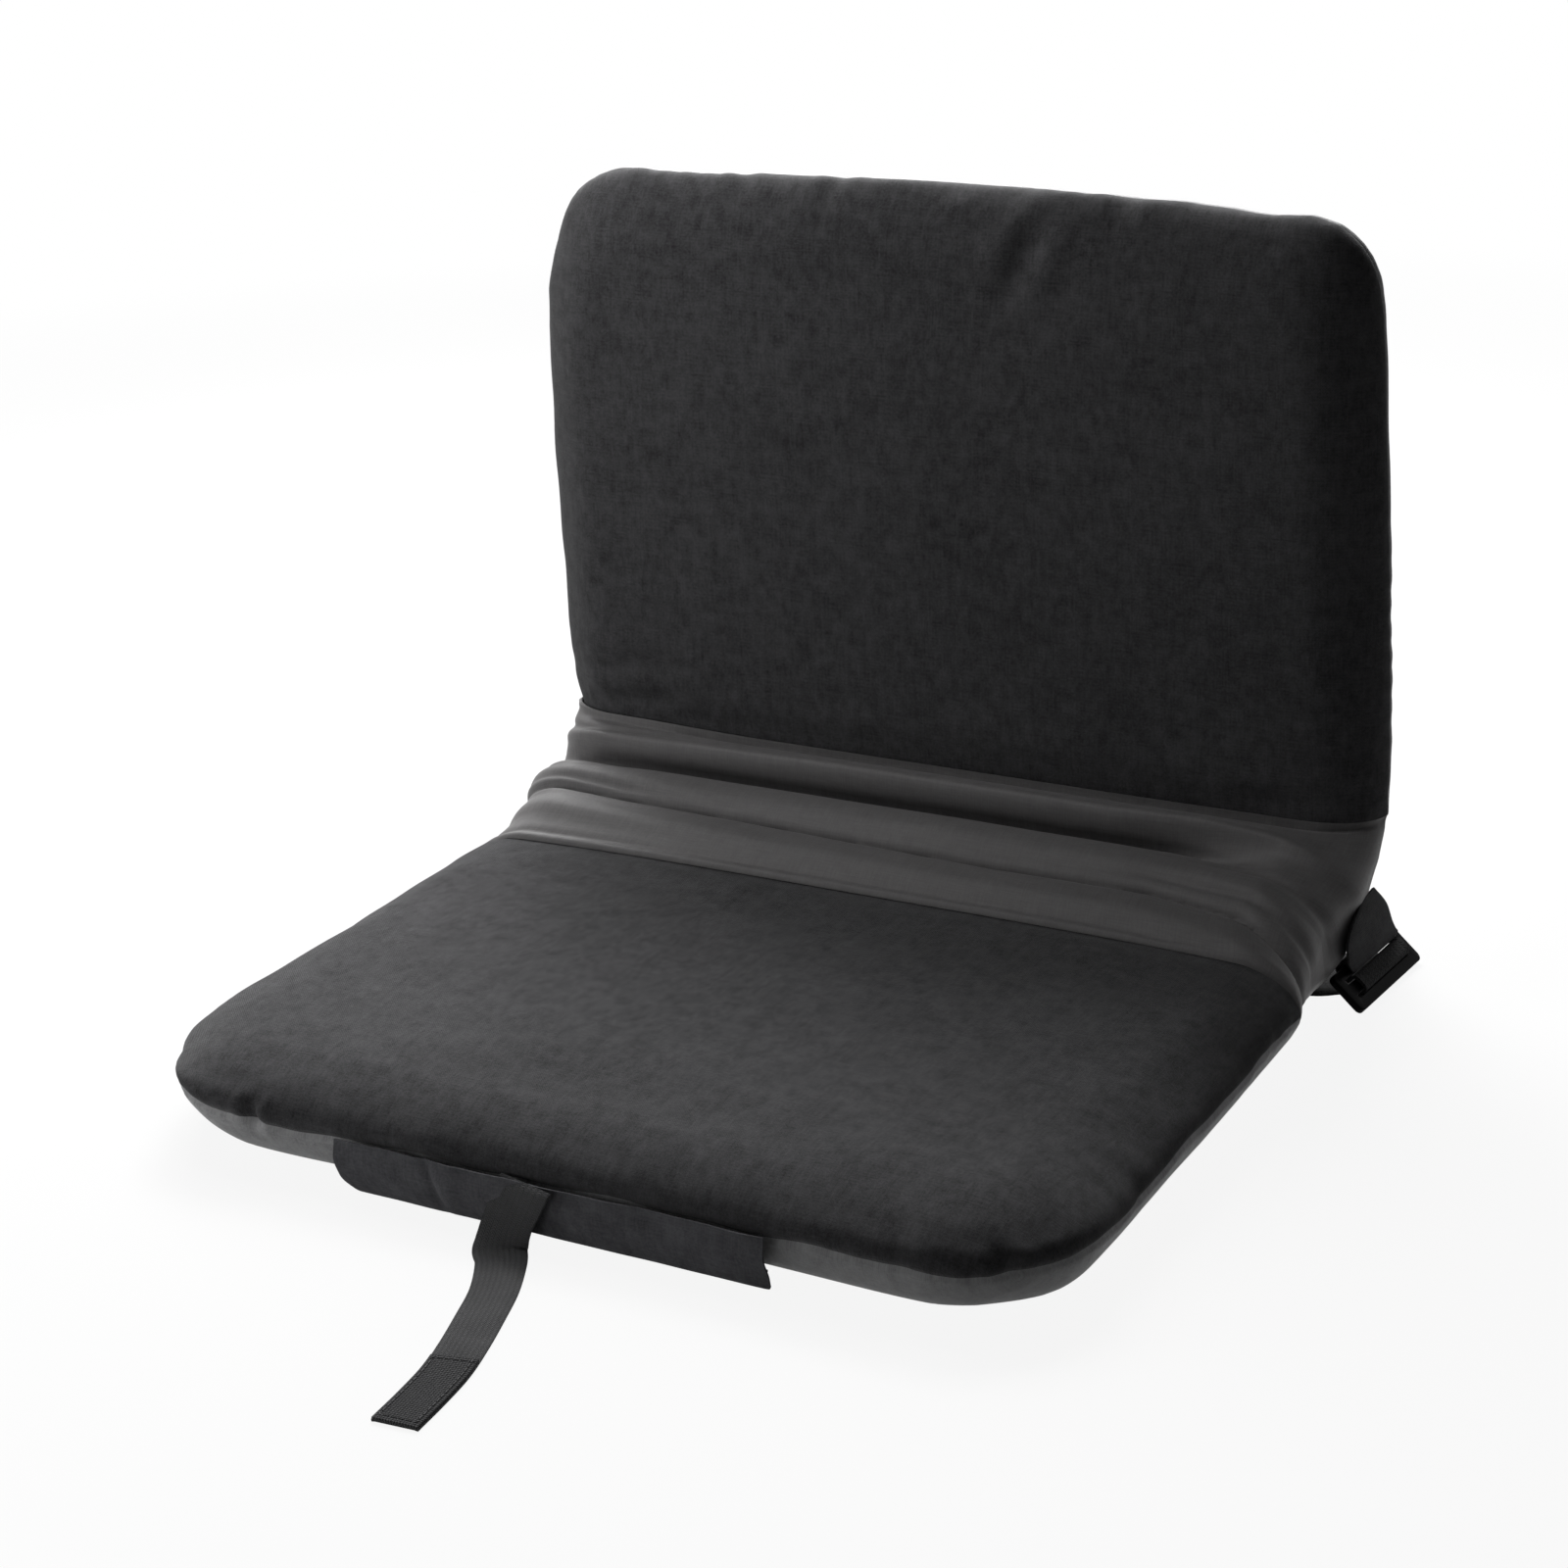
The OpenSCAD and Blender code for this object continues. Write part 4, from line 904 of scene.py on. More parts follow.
# Small folds that run aslant: height, share at a place, slope, the place, reach below and above,
# then places and strengths.
slanted_folds = [
    (0.0022, 1.0, 0.35, -0.21, 0.03, 0.025, (-0.215, 1), (-0.16, 1), (-0.11, 0)),
    (-0.0022, 0.885, 0.3, -0.21, 0.022, 0.02, (-0.215, 1), (-0.16, 0.7), (-0.12, 0)),
    (-0.0018, 0.47, -0.9, -0.19, 0.02, 0.03, (-0.215, 0.7), (-0.15, 1), (-0.12, 0)),
    (-0.0018, 0.60, 0.9, -0.19, 0.022, 0.03, (-0.215, 0.8), (-0.16, 0.7), (-0.12, 0)),
    (-0.0020, 0.44, 0.5, 0.16, 0.02, 0.03, (0.11, 0), (0.15, 1), (0.2, 1), (0.215, 0.6)),
    (-0.0020, 0.62, 0.9, 0.17, 0.025, 0.03, (0.12, 0), (0.17, 1), (0.215, 0.7)),
]


def fold_height(v, x):
    """How far the band's cloth stands off its straight line, in metres, at share v and place x."""
    w = sagged(v, x)
    lively = 1 + 0.12 * np.sin(x * 31 + 1) + 0.08 * np.sin(x * 77)
    ridge = table(x, (-0.215, 0.2), (-0.19, 0.5), (-0.13, 0.8), (-0.05, 1), (0.14, 1), (0.2, 0.3))
    groove = table(x, (-0.215, 0.25), (-0.19, 0.75), (-0.13, 0.95), (-0.05, 1), (0.12, 1), (0.18, 0))
    h = 0.0080 * bell(w, 0.845, 0.038, 0.075) * ridge
    h -= 0.0140 * bell(w, 0.705, 0.048, 0.07) * groove
    h += 0.0034 * bell(w, 0.50, 0.10, 0.13) * lively
    centre = table(x, (-0.19, 0.405), (-0.146, 0.375), (-0.057, 0.348), (0.05, 0.315), (0.2, 0.335))
    h -= 0.0034 * bell(w, centre, 0.017, 0.022) * table(x, (-0.215, 0.2), (-0.18, 1), (0.21, 1))
    h += 0.0030 * bell(w, centre - 0.16, 0.08, 0.10) * table(x, (-0.215, 1), (0.12, 0.95), (0.2, 0.6))
    h -= 0.0010 * bell(w, 0.03, 0.02, 0.028)
    seam_strength = table(x, (-0.215, 0.3), (-0.17, 0.7), (-0.1, 1), (0.205, 1), (0.215, 0.3))
    h -= 0.0042 * bell(v, 0.985, 0.03, 0.024) * seam_strength
    for push, share, slope, start, below, above, *strengths in slanted_folds:
        h += push * bell(w, share + slope * (x - start), below, above) * table(x, *strengths)
    return h


# %% The sleeve's section and run
hinge_y, hinge_z = 0.156, 0.022
setback = 0.057
edge_shares = np.array([
    [-0.995, -0.99], [-0.83, -0.99], [-0.66, -0.99], [-0.48, -0.99], [-0.3, -0.99], [-0.12, -0.99],
    [0.06, -0.99], [0.2, -0.99], [0.33, -0.93], [0.46, -0.72], [0.58, -0.4], [0.72, 0.02],
    [0.86, 0.2], [1.01, 0.4], [1.15, 0.6], [1.28, 0.8], [1.385, 0.97],
])
edge_run = np.column_stack([
    hinge_y + edge_shares[:, 0] * setback,
    hinge_z + edge_shares[:, 1] * np.where(edge_shares[:, 1] < 0, hinge_z, setback),
])
band_from = np.array([seat_rear, 0.0500])
band_to = np.array([float(back_lo[1]), back_bottom])
waist = 0.0075


def lower_edge(v):
    t = np.clip(v, 0, 1) * 16
    at = smooth_path(edge_run, 321)
    return np.stack([np.interp(t * 20, np.arange(321), at[:, k]) for k in (0, 1)], -1)


def sleeve_half(v):
    inside = np.clip(v, 0, 1)
    return seat_pad["half"] + (back_pad["half"] - seat_pad["half"]) * inside - waist * np.sin(np.pi * inside)


def sleeve_shift(x, v):
    """How far the sleeve's cloth sits to one side: with the back's cloth above, in at its waist."""
    left = table(v, (-0.04, 0), (0, 0.0035), (0.17, 0.0048), (0.33, 0.0018), (0.5, -0.0045),
                 (0.65, -0.003), (0.8, 0))
    right = table(v, (-0.04, -0.0042), (0, -0.0042), (0.2, -0.0055), (0.4, -0.0045), (0.55, 0.0008),
                  (0.7, 0.003), (0.85, 0.0028), (1, -0.001))
    side = np.clip(abs(x) / seat_pad["half"], 0, 1) ** 2
    return askew(x, 0.0) * ease(v) + np.where(x < 0, left, right) * side


def sleeve_grid(vs):
    """Points of the sleeve's outer face: rows from seat to back, columns from side to side."""
    flat, roll, side = (np.linspace(0, 1, count)[:-1] for count in (64, 15, 9))
    under = np.linspace(0, 1, 10)
    kinds = [(kind, s) for kind, shares in enumerate((flat, roll, side, under)) for s in shares]
    grid = np.zeros((len(vs), 2 * len(kinds) - 1, 3))
    for i, v in enumerate(vs):
        inside = min(max(v, 0), 1)
        half = sleeve_half(v)
        top = band_from + (band_to - band_from) * v
        low = lower_edge(np.array([v]))[0]
        depth = np.linalg.norm(low - top)
        down = (low - top) / depth
        over = 0.93 * (0.025 + 0.002 * inside)
        beneath = 0.93 * (seat_pad["seam"] + (back_pad["seam"] - seat_pad["seam"]) * inside)
        for j, (kind, s) in enumerate(kinds):
            if kind == 0:
                x = (half - roll_in) * s
                d = crown_h * (abs(x) / 0.215) ** 4
            elif kind == 1:
                a = math.pi / 2 * (1 - s)
                x = half - roll_in * (1 - math.cos(a))
                d = over - (over - crown_h * (abs(x) / 0.215) ** 4) * math.sin(a)
            elif kind == 2:
                x = half
                d = over + (depth - over - beneath) * s
            else:
                a = math.pi / 2 * s
                x = half - bevel_in * (1 - math.cos(a)) ** 0.6
                d = depth - beneath + beneath * math.sin(a) ** 1.1
            spot = top + down * d
            for sign in (-1, 1):
                grid[i, len(kinds) - 1 + sign * j] = (sign * x + sleeve_shift(sign * x, v), spot[0], spot[1])
    return grid, len(kinds)


band_rows = np.concatenate([[-0.035, -0.02, -0.006], np.linspace(0.008, 1.0, 84), [1.012]])
band_grid, half_columns = sleeve_grid(band_rows)
outward = face_out(band_grid)
up_the_band = unit(np.gradient(band_grid, axis=0))
column = abs(np.arange(band_grid.shape[1]) - (half_columns - 1))
strength = np.interp(column, [63, 77, 85, 95], [1.0, 0.75, 0.25, 0.0])
height = fold_height(band_rows[:, None], band_grid[..., 0]) * strength[None, :]
lap = table(band_rows, (-0.035, -0.0009), (-0.015, 0.0008), (0.03, 0.0006), (0.97, 0.0004), (1, 0.0006))
ends = table(band_rows, (-0.035, 0.0), (0.0, 0.2), (0.03, 1.0), (1.0, 1.0), (1.01, 0.6))[:, None]
hang = fold_lean(band_rows[:, None], band_grid[..., 0]) * strength[None, :]
band_grid = band_grid + outward * (height * ends + lap[:, None] * (strength[None, :] > 0.3))[..., None]
band_grid = band_grid + up_the_band * hang[..., None]
band, band_wide, band_long = cloth_sheet("hinge_band", band_grid, 0.0011, band_cloth)
print("band cloth:", round(band_wide, 3), "by", round(band_long, 3), "m")

# %% The sleeve's rear sheet
rear_rows = np.linspace(8 / 16, 1.0, 34)
rear_side = np.linspace(-1, 1, 70)
rear_grid = np.zeros((len(rear_rows), len(rear_side), 3))
for i, v in enumerate(rear_rows):
    spot = lower_edge(np.array([v]))[0]
    half = sleeve_half(v) - bevel_in + 0.002
    rear_x = half * rear_side
    rear_x = rear_x + sleeve_shift(rear_x, v)
    rear_grid[i] = np.column_stack([rear_x, np.full(70, spot[0]), np.full(70, spot[1])])
rear_out = -face_out(rear_grid)
ripple = np.sin(rear_rows * 70)[:, None] * 0.0006 + 0.0009 * np.sin(rear_rows * 31 + 1)[:, None]
ripple = ripple * (1 - rear_side**6) * np.sin(np.pi * (rear_rows - 0.5) / 0.5)[:, None]
ripple = ripple * (1 + 0.4 * np.sin(rear_side * 9))
rear_grid = rear_grid + rear_out * (ripple + 0.0002)[..., None]
rear_grid[..., 2] = np.maximum(rear_grid[..., 2], 0.0015)
rear_sheet, rear_wide, rear_long = cloth_sheet("hinge_rear_sheet", rear_grid[:, ::-1], 0.0011, band_cloth)
print("rear sheet:", round(rear_wide, 3), "by", round(rear_long, 3), "m")

# %% The sleeve in place of the imported gusset parts
for piece, node, size in ((band, "gusset_front", (band_wide, band_long)),
                          (rear_sheet, "gusset_rear", (rear_wide, rear_long))):
    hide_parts(node)
    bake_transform(piece)

# %% [markdown]
# ## Pocket, closing strap and loop patch
# The strap's own pocket is a plain flap under the front seam. The strap comes out of its mouth
# and lies on the floor, and its hook tape grips the patch on the back when the seat is shut.
# Straps are thin and flat, so they are laid out point by point and never simulated.

# %% The pocket
pocket_lo, pocket_hi = corners("front_pocket")
front_y = -0.175
pocket_line = smooth_path([
    (front_y - 0.0006, 0.0268), (front_y - 0.0022, 0.0190), (front_y - 0.0025, 0.0125),
    (front_y - 0.0018, 0.0068), (front_y - 0.0001, 0.0036), (front_y + 0.0045, 0.0020),
    (front_y + 0.0160, 0.0010)], 36)
pocket_u = np.linspace(0, 1, 110)
pocket_grid = np.zeros((36, 110, 3))
for i, (y, z) in enumerate(pocket_line):
    lowness = ease((0.011 - z) / 0.010) * ease((front_y + 0.006 - y) / 0.006)
    x0 = pocket_lo[0] + 0.0010 + 0.0035 * ease((0.020 - z) / 0.012) + 0.009 * lowness**1.2
    x1 = pocket_hi[0] - 0.0020 * ease((z - 0.008) / 0.012) - 0.011 * ease((y - front_y + 0.0012) / 0.004)
    x = x0 + (x1 - x0) * pocket_u
    mouth = ease((z - 0.008) / 0.016) * (y < front_y + 0.001)
    lift = (0.0019 - 0.0007 * pocket_u) * ease((0.024 - z) / 0.02)
    slack = 0.0011 * np.exp(-((x + 0.012) / 0.03) ** 2) + 0.0006 * np.exp(-((x - 0.095) / 0.02) ** 2)
    tuck = -0.0013 * np.exp(-((x + 0.052 + (z - 0.012) * 0.4) / 0.0025) ** 2)
    tuck += 0.0007 * np.exp(-((x + 0.046) / 0.004) ** 2)
    wave = 0.0004 * np.sin(x * 95) + 0.00025 * np.sin(x * 210 + z * 300)
    pocket_grid[i] = np.column_stack([x, y - mouth * slack - (tuck + wave) * ease(z / 0.01), z + lift])
pocket = seat_sheet(cloth_sheet("front_pocket_cloth", pocket_grid, 0.0009, pocket_cloth),
                    "seat", "front_pocket")

# %% Straps as ribbons
def ribbon(name, centres, sides, thickness, material, columns=9, dome=0.0):
    """A strap through centres, each with a half-width vector; dome raises its middle."""
    share = np.linspace(-1, 1, columns)
    grid = centres[:, None, :] + sides[:, None, :] * share[None, :, None]
    normal = unit(np.cross(sides, np.gradient(centres, axis=0)))
    raised = thickness / 2 + dome * (1 - share**2)
    rounding = np.where(abs(share) > 0.999, -0.25 * thickness, 0.0)
    grid = grid + normal[:, None, :] * (raised + rounding)[None, :, None]
    return cloth_sheet(name, grid, thickness, material)


stations = np.array([
    [0.26, 0.012, 0.97, 1.45], [0.22, 0.030, 0.84, 1.42], [0.14, 0.038, 0.55, 1.35],
    [0.07, 0.048, 0.27, 1.25], [0.06, 0.068, 0.085, 1.18], [0.10, 0.100, 0.0, 1.12],
    [0.24, 0.160, 0.0, 1.05], [0.46, 0.300, 0.0, 1.0], [0.62, 0.450, 0.0, 1.0],
    [0.765, 0.600, 0.0, 1.0], [0.875, 0.740, 0.0, 1.0], [0.93, 0.880, 0.0, 1.0], [0.965, 1.025, 0.0, 1.0],
])
strap_x0 = -0.020
strap_path = np.column_stack([
    strap_x0 + stations[:, 0] * 0.042, front_y - stations[:, 1] * 0.136, 0.00075 + stations[:, 2] * 0.027
])
print("closing strap stations:", len(stations))
strap_line = smooth_path(np.column_stack([strap_path, stations[:, 3]]), 97)
strap_line[:, 2] = np.maximum(strap_line[:, 2], 0.00075)
heading = np.gradient(strap_line[:, :3], axis=0)
level = unit(np.column_stack([-heading[:, 1], heading[:, 0], np.zeros(97)]))
steep = np.clip(abs(heading[:, 2]) / np.linalg.norm(heading, axis=1), 0, 1)[:, None] ** 2
facing = unit(np.array([1.0, 0.0, 0.0]) * steep + level * (1 - steep))
strap_sides = facing * (strap_line[:, 3] * 0.010)[:, None]
seat_sheet(ribbon("closing_strap_tape", strap_line[:, :3], -strap_sides, 0.0011, strap_webbing, 13),
           "seat", "closing_strap")

# %% Hook tape on the strap's end
hook_part = strap_line[-21:, :3] + np.array([0, 0, 0.00095])
hook = seat_sheet(ribbon("strap_hook_tape", hook_part, -strap_sides[-21:] * 0.97, 0.0009, hook_tape, 11),
                  "seat", "closing_strap_hook_tape")

# %% Loop patch on the back's rear
patch_lo, patch_hi = corners("back_loop_patch")
patch_u = np.linspace(0, 1, 26)
patch_v = np.linspace(0, 1, 30)
gx, gz = np.meshgrid(patch_lo[0] + (patch_hi[0] - patch_lo[0]) * patch_u,
                     patch_lo[2] + (patch_hi[2] - patch_lo[2]) * patch_v)
rim = np.minimum(np.minimum(gx - patch_lo[0], patch_hi[0] - gx),
                 np.minimum(gz - patch_lo[2], patch_hi[2] - gz))
gy = patch_lo[1] + 0.0009 + 0.0009 * ease(rim / 0.003)
patch_grid = np.dstack([gx + askew(gx, gz - back_bottom), gy, gz])[:, ::-1]
patch = seat_sheet(cloth_sheet("loop_patch", patch_grid, 0.0009, loop_pile),
                   "back", "back_loop_patch")

# %% [markdown]
# ## Buckle, tab and carry strap
# The slide buckle is a flat moulding with two slots. A filled curve with two holes, given a
# thickness and a round bevel, has the soft edges that a moulding has.

# %% The buckle
lean, twist = math.radians(41), math.radians(-4)
buckle_foot = np.array([0.2205, 0.1955, 0.0])
buckle_wide, buckle_long, buckle_thick = 0.021, 0.068, 0.0036
bar = 0.0057
slot = (buckle_wide - 3 * bar) / 2


def buckle_spot(out, along, high):
    """A place in the buckle's own frame: out from its foot, along it, and off its rear face."""
    reach = out * math.cos(lean) + high * math.sin(lean)
    return buckle_foot + np.array([
        reach * math.cos(twist) - along * math.sin(twist),
        reach * math.sin(twist) + along * math.cos(twist),
        -out * math.sin(lean) + high * math.cos(lean),
    ])


def polyline(curve, points):
    """A straight-sided line through the points, in a curve."""
    spline = curve.splines.new("POLY")
    spline.points.add(len(points) - 1)
    for point, place in zip(spline.points, points):
        point.co = (*place, 1)
    return spline


def rounded_loop(curve, x0, x1, y0, y1, r):
    """A closed rectangle with rounded corners, in a curve."""
    points = []
    for cx, cy, start in ((x1 - r, y1 - r, 0), (x0 + r, y1 - r, 90),
                          (x0 + r, y0 + r, 180), (x1 - r, y0 + r, 270)):
        for step in range(5):
            a = math.radians(start + 22.5 * step)
            points.append((cx + r * math.cos(a), cy + r * math.sin(a), 0))
    polyline(curve, points).use_cyclic_u = True


soft = 0.0006
curve = bpy.data.curves.new("buckle_shape", "CURVE")
curve.dimensions = "2D"
curve.fill_mode = "BOTH"
curve.extrude = buckle_thick / 2 - soft
curve.bevel_depth = soft
curve.bevel_resolution = 3
rounded_loop(curve, -buckle_wide + soft, -soft, -buckle_long / 2 + soft, buckle_long / 2 - soft, 0.0025)
for k in (0, 1):
    inner = -bar - k * (bar + slot)
    rounded_loop(curve, inner - slot - soft, inner + soft, -buckle_long / 2 + 0.006 - soft,
                 buckle_long / 2 - 0.006 + soft, 0.0012)
buckle = show("slide_buckle", curve)
buckle_mesh = made_of(buckle)
bpy.data.objects.remove(buckle)
flat_points = points_of(buckle_mesh)
move_to(buckle_mesh, [buckle_spot(x, y, z + buckle_thick / 2) for x, y, z in flat_points])
coat(buckle_mesh, buckle_plastic)
buckle_mesh.set_sharp_from_angle(angle=math.radians(40))
buckle = show("slide_buckle", buckle_mesh)
with opened(buckle_mesh) as bm:
    bmesh.ops.remove_doubles(bm, verts=bm.verts, dist=1e-6)
    bmesh.ops.recalc_face_normals(bm, faces=bm.faces)
seat_piece(buckle, "back", ["strap_buckle"])
print("buckle:", len(buckle_mesh.polygons), "faces")

# %% The tab
tab_v = 0.75
tab_front = band_from + (band_to - band_from) * tab_v
tab_rear = lower_edge(np.array([tab_v]))[0]
tab_turn = tab_rear - (tab_rear - tab_front) / np.linalg.norm(tab_rear - tab_front) * 0.0225
tab_x = sleeve_half(tab_v) + sleeve_shift(sleeve_half(tab_v), tab_v)
tab_top = np.array([tab_x + 0.0006, *tab_turn])
side_of_buckle = np.array([-math.sin(twist), math.cos(twist), 0])
tab_thick, tab_half = 0.0012, 0.0258
bar_middle = -buckle_wide + bar / 2
loop_round = [(0.3, 1), (-0.3, 1), (-0.8, 0.3), (-0.87, -1.5), (-0.6, -3.7), (0.1, -3.8)]
loop_points = [buckle_spot(bar_middle + s * bar, 0.0055, buckle_thick + h * tab_thick) for s, h in loop_round]
tab_points, tab_halves = [], []
for share, wide in ((0, 0.3), (0.35, 0.9), (0.7, 1), (0.95, 1)):
    bulge = np.array([0.0015, -0.0085, 0]) * math.sin(math.pi * share)
    tab_points.append(tab_top + (loop_points[0] - tab_top) * share + bulge)
    side = np.array([0, 1, 0]) * (1 - share) + side_of_buckle * share
    tab_halves.append(unit(side) * tab_half * wide)
tab_points += loop_points
tab_halves += [side_of_buckle * tab_half] * len(loop_points)
tab_line = smooth_path(tab_points, 73)
tab_side = smooth_path(tab_halves, 73)
seat_sheet(ribbon("buckle_tab_cloth", tab_line, -tab_side, tab_thick, cover_cloth, 15, 0.0004),
           "back", "buckle_tab")

# %% The carry strap
web_thick = 0.0014
carry_shift = 0.0024
carry_y = buckle_foot[1] + carry_shift
left_x, left_h, floor_x = 0.2105, 0.040, 0.188
carry_points = [(-left_x - s * left_h, carry_y, h * left_h) for s, h in
                ((0, 1), (0.0125, 0.65), (-0.025, 0.3), (-0.1, 0.1))]
carry_points += [(x, carry_y, web_thick / 2 + 0.0001) for x in
                 (-left_x + left_h / 4, -left_x + left_h, -0.1, 0.0, 0.1, floor_x - left_h, floor_x)]
slot_out, slot_in, lead = -bar - slot / 2, -2 * bar - 1.5 * slot, 0.003
carry_points += [
    buckle_spot(slot_out - 2 * lead, carry_shift, -4 * web_thick),
    buckle_spot(slot_out - lead, carry_shift, -2.4 * web_thick),
    buckle_spot(slot_out, carry_shift, 0), buckle_spot(slot_out, carry_shift, buckle_thick),
    buckle_spot(slot_out - web_thick, carry_shift, buckle_thick + 1.15 * web_thick),
    buckle_spot(slot_in + web_thick, carry_shift, buckle_thick + 1.15 * web_thick),
    buckle_spot(slot_in, carry_shift, buckle_thick), buckle_spot(slot_in, carry_shift, 0),
]
web_half = 0.025
carry_halves = [np.array([0, web_half, 0])] * 11 + [side_of_buckle * web_half] * 8
carry_line = smooth_path(carry_points, 145)
carry_line[:, 2] = np.maximum(carry_line[:, 2], web_thick / 2 + 0.0001)
carry_side = smooth_path(carry_halves, 145)
seat_sheet(ribbon("carry_strap_webbing", carry_line, -carry_side, web_thick, wide_webbing, 21),
           "back", "carry_strap")

# %% [markdown]
# ## Stitches
# Thread shows as a row of short, round bars. A small Geometry Nodes tree places one bar per step
# along a curve, so a whole seam is one path and three numbers.

# %% A tree that sews along a curve
def stitch_tree():
    tree = bpy.data.node_groups.new("stitches", "GeometryNodeTree")
    face = tree.interface
    face.new_socket("Geometry", in_out="INPUT", socket_type="NodeSocketGeometry")
    for name in ("Step", "Length", "Thickness"):
        face.new_socket(name, in_out="INPUT", socket_type="NodeSocketFloat")
    face.new_socket("Material", in_out="INPUT", socket_type="NodeSocketMaterial")
    face.new_socket("Geometry", in_out="OUTPUT", socket_type="NodeSocketGeometry")

    def add(kind, **settings):
        node = tree.nodes.new(kind)
        for key, value in settings.items():
            setattr(node, key, value)
        return node

    given, made = add("NodeGroupInput"), add("NodeGroupOutput")
    steps = add("GeometryNodeResampleCurve", mode="LENGTH")
    bar_mesh = add("GeometryNodeMeshCylinder", fill_type="TRIANGLE_FAN")
    bar_mesh.inputs["Vertices"].default_value = 6
    bars = add("GeometryNodeInstanceOnPoints")
    tangent = add("GeometryNodeInputTangent")
    aim = add("FunctionNodeAlignRotationToVector", axis="Z")
    real = add("GeometryNodeRealizeInstances")
    colour = add("GeometryNodeSetMaterial")
    for source, out, target, into in (
            (given, "Geometry", steps, "Curve"), (given, "Step", steps, "Length"),
            (given, "Thickness", bar_mesh, "Radius"), (given, "Length", bar_mesh, "Depth"),
            (steps, 0, bars, "Points"), (bar_mesh, "Mesh", bars, "Instance"),
            (tangent, 0, aim, "Vector"), (aim, 0, bars, "Rotation"), (bars, 0, real, 0),
            (real, 0, colour, "Geometry"), (given, "Material", colour, "Material"), (colour, 0, made, 0)):
        tree.links.new(source.outputs[out], target.inputs[into])
    return tree


sewing = stitch_tree()


def sew_lines(name, lines, body, step=0.0032, length=0.0023, thickness=0.00028):
    """One piece of thread bars along the given lines, each a list of places."""
    path = bpy.data.curves.new(name + "_path", "CURVE")
    path.dimensions = "3D"
    for line in lines:
        polyline(path, line)
    guide = show(name + "_guide", path)
    modifier = guide.modifiers.new("sewing", "NODES")
    modifier.node_group = sewing
    values = {"Step": step, "Length": length, "Thickness": thickness, "Material": thread}
    for item in sewing.interface.items_tree:
        if item.in_out == "INPUT" and item.name in values:
            modifier[item.identifier] = values[item.name]
    mesh = made_of(guide)
    mesh.name = name
    bpy.data.objects.remove(guide)
    piece = show(name, mesh)
    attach(piece, body)
    print(name, "-", len(mesh.polygons), "faces")
    return piece


# %% Sewing the tapes on
def rectangle_on(grid, lift=0.00012):
    """A closed line of places one step inside the edge of a grid, lifted off its face."""
    g = (grid + face_out(grid) * lift)[1:-1, 1:-1]
    return np.concatenate([g[0], g[1:, -1], g[-1, -2::-1], g[-2::-1, 0]])


def surface_grid(piece, rows, columns):
    return points_of(piece.data)[: rows * columns].reshape(rows, columns, 3)


sew_lines("hook_stitches", [rectangle_on(surface_grid(hook, 21, 11))], "seat")
sew_lines("patch_stitches", [rectangle_on(surface_grid(patch, 30, 26))], "back")
pocket_face = surface_grid(pocket, 36, 110)
off_the_cloth = [0, 0.00015, 0]
sew_lines("pocket_stitches", [pocket_face[1:14, 2] - off_the_cloth, pocket_face[3, 1:-1] - off_the_cloth],
          "seat")
print("stitches done")

# %% [markdown]
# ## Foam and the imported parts' finishes
# The foam slabs sit inside the covers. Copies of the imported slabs, remeshed and smoothed, give
# the soft edges of cut foam. The frame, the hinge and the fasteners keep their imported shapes.

# %% Foam slabs
def foam_slab(node, name, body):
    """A soft-edged copy of a packed foam slab, a little smaller all round."""
    slab = show(name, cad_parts[node].data.copy())
    with opened(slab.data) as bm:
        bmesh.ops.remove_doubles(bm, verts=bm.verts, dist=1e-5)
    mesh = remeshed(slab, 0.005).data
    points = points_of(mesh) - normals_of(mesh) * 0.003
    if body == "back":
        points[:, 0] += askew(points[:, 0], points[:, 2] - back_bottom)
    move_to(mesh, points)
    subdivided(slab)
    coat(slab.data, foam)
    seat_piece(slab, body, [node])
    print(name, len(slab.data.polygons), "faces")


foam_slab("seat_foam", "foam_of_seat", "seat")
foam_slab("back_foam", "foam_of_back", "back")

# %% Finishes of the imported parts
finishes = {
    "frame_tube": frame_steel, "cross_tube": frame_steel, "board_screws": fastener_steel, "_board": board_ply,
    "hinge_plate": hinge_steel, "rivets": fastener_steel, "stop_pins": fastener_steel, "washers": nylon,
}
for name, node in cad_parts.items():
    for key, material in finishes.items():
        if key in name and (key != "_board" or name.endswith("_board")):
            for holder in node.material_slots:
                holder.material = material
            print(name, "is", material.name)
            break

# %% [markdown]
# ## Floor and light
# A pale floor and six soft lamps. The two large ones behind the seat graze both pads, which shades
# the black cloth from left to right. The white round the seat is there for the camera and for
# shiny surfaces, and gives next to no light of its own.

# %% Floor
def seen_rays(tree):
    """1 for a ray that the camera sends, or that a shiny or clear surface passes on, and 0 for the rest."""
    rays = tree.nodes.new("ShaderNodeLightPath")
    camera_ray, glossy_ray, clear_ray = (
        Socket(tree, rays.outputs["Is " + kind + " Ray"]) for kind in ("Camera", "Glossy", "Transmission"))
    return (camera_ray + glossy_ray + clear_ray).limit()


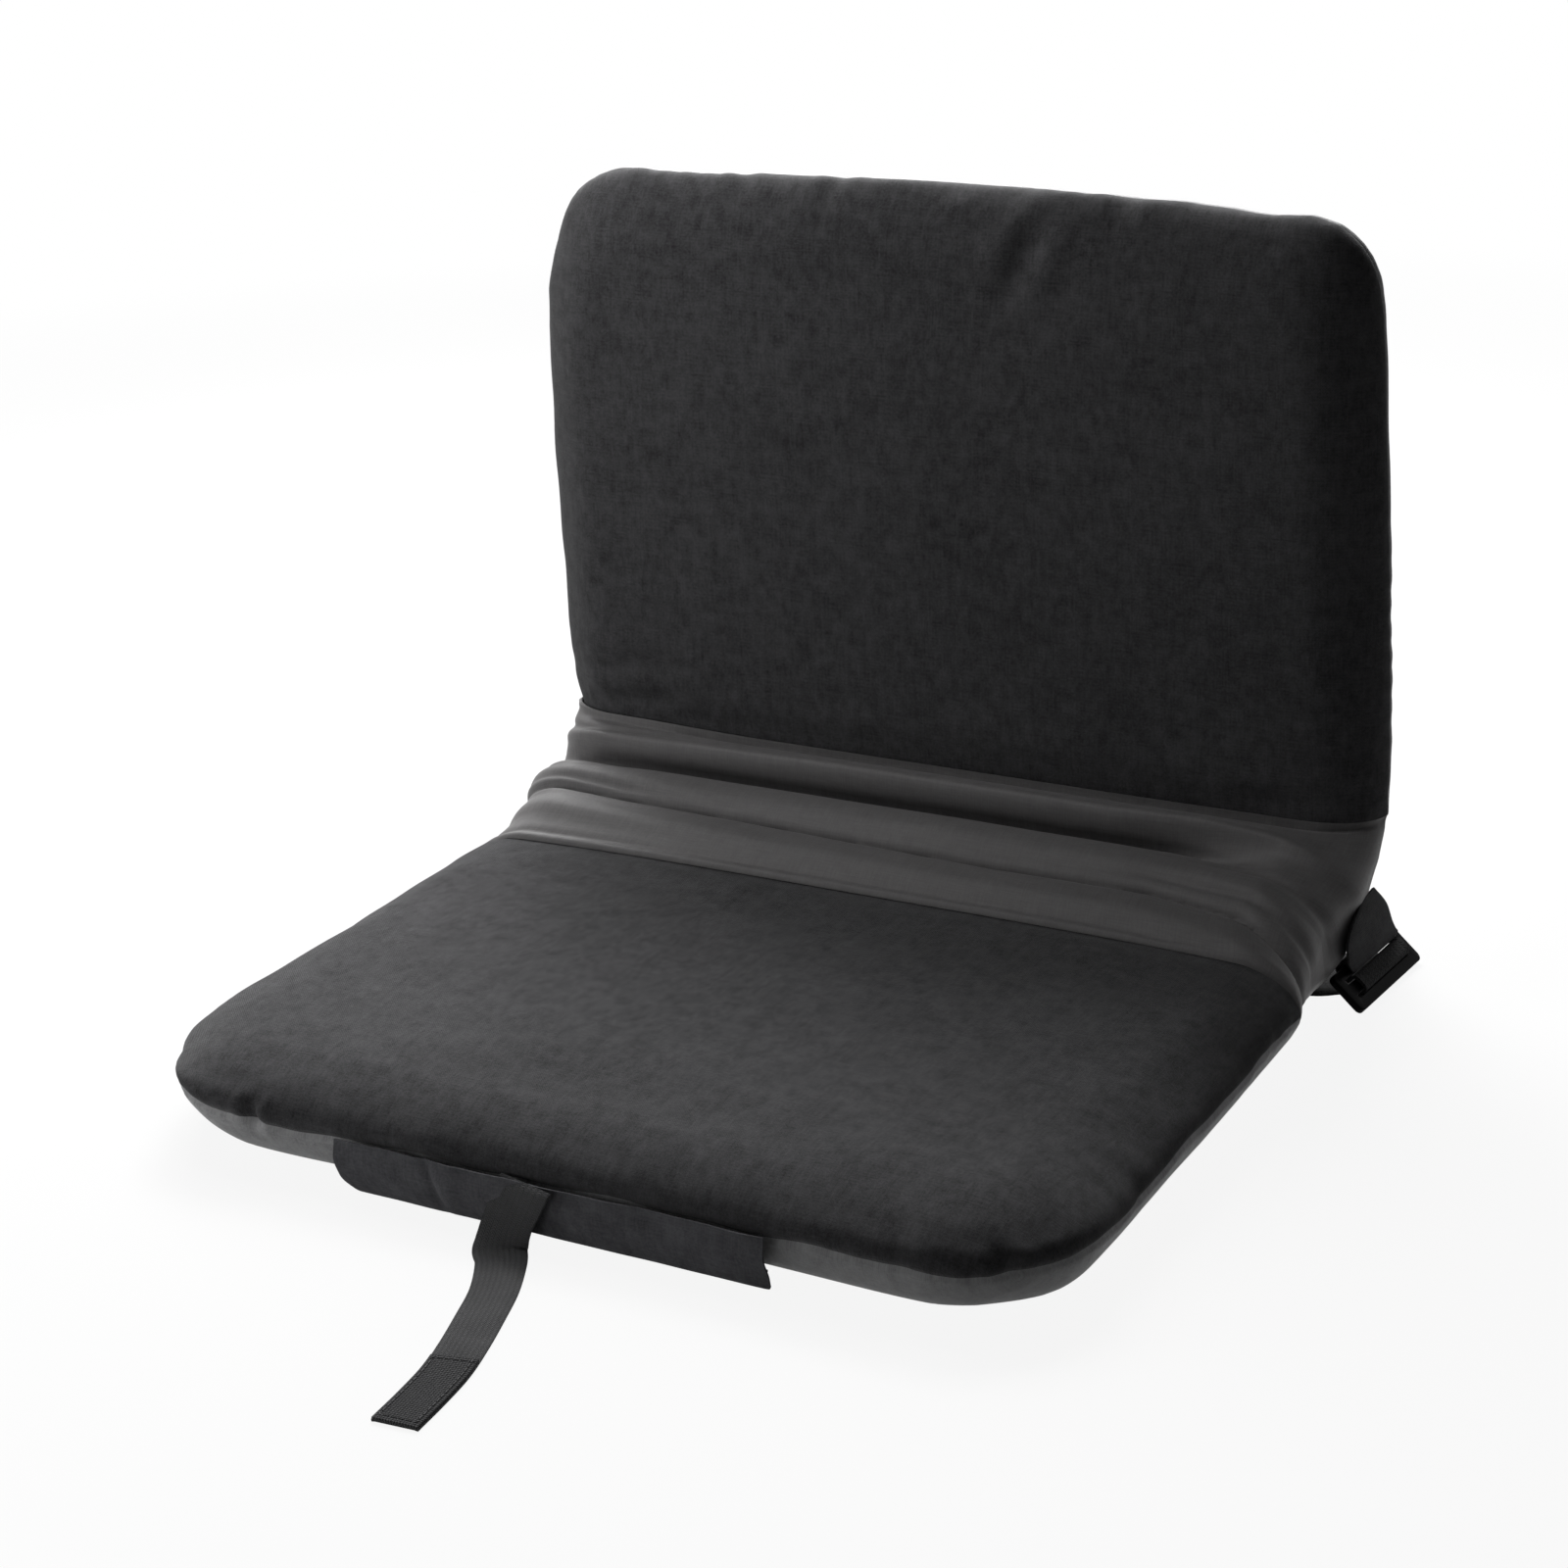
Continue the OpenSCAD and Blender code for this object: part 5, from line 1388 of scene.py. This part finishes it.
def floor_look():
    look = Look("floor_paint", Specular_IOR_Level=0.1, Roughness=0.9)
    grain = look.noise(look.place(), 30.0, 2.0)
    seen = seen_rays(look.tree)
    paint = look.blend(grain, (0.84, 0.84, 0.84), (0.86, 0.86, 0.86))
    look.finish(look.blend(seen, (0.35, 0.35, 0.35), paint))
    glow = look.node("ShaderNodeEmission", {}, {"Color": (1, 1, 1, 1), "Strength": 1.0})
    x, y, _ = look.parts(look.place())
    far = ((x * x + y * y - 0.3) * 0.35).limit()
    mixed = look.tree.nodes.new("ShaderNodeMixShader")
    plug(look.tree, mixed.inputs[0], seen * (0.9 + far * 0.1))
    look.tree.links.new(look.shader.outputs[0], mixed.inputs[1])
    look.tree.links.new(glow.out, mixed.inputs[2])
    look.tree.links.new(mixed.outputs[0], look.tree.nodes["Material Output"].inputs[0])
    return look.material


reach = 6
floor_corners = [(x * reach, y * reach, 0) for x, y in ((-1, -1), (1, -1), (1, 1), (-1, 1))]
floor = make_mesh("floor", floor_corners, [(0, 1, 2, 3)], floor_look())

# %% World and lamps
world = bpy.data.worlds.new("surround")
scene.world = world
world.use_nodes = True
sky = world.node_tree
background = sky.nodes["Background"]
background.inputs["Color"].default_value = (1, 1, 1, 1)
plug(sky, background.inputs["Strength"], seen_rays(sky) * 0.98 + 0.02)


middle = Vector((0.0, 0.05, 0.1))
large, small = 0.7, 0.25


def softbox(name, place, size, power):
    """A square lamp, size in metres and power in watts, aimed at the middle of the seat."""
    lamp = bpy.data.lights.new(name, "AREA")
    lamp.shape = "SQUARE"
    lamp.size = size
    lamp.energy = power
    lamp_object = show(name, lamp)
    aim = (middle - Vector(place)).to_track_quat("-Z", "Y")
    lamp_object.matrix_world = Matrix.Translation(place) @ aim.to_matrix().to_4x4()
    lamp_object.visible_camera = False


softbox("behind", (-0.30, 0.90, 1.10), large, 20)
softbox("behind_left", (-0.70, 0.90, 0.80), large, 12.4)
softbox("left", (-0.36, 0.02, 0.55), small, 0.96)
softbox("above", (-0.12, 0.03, 0.60), small, 0.24)
softbox("low_left", (-0.60, -0.40, 0.05), small, 1.05)
softbox("low_front", (-0.15, -0.55, 0.06), small, 0.2)
scene.view_settings.view_transform = "Standard"
print("floor and lamps set")
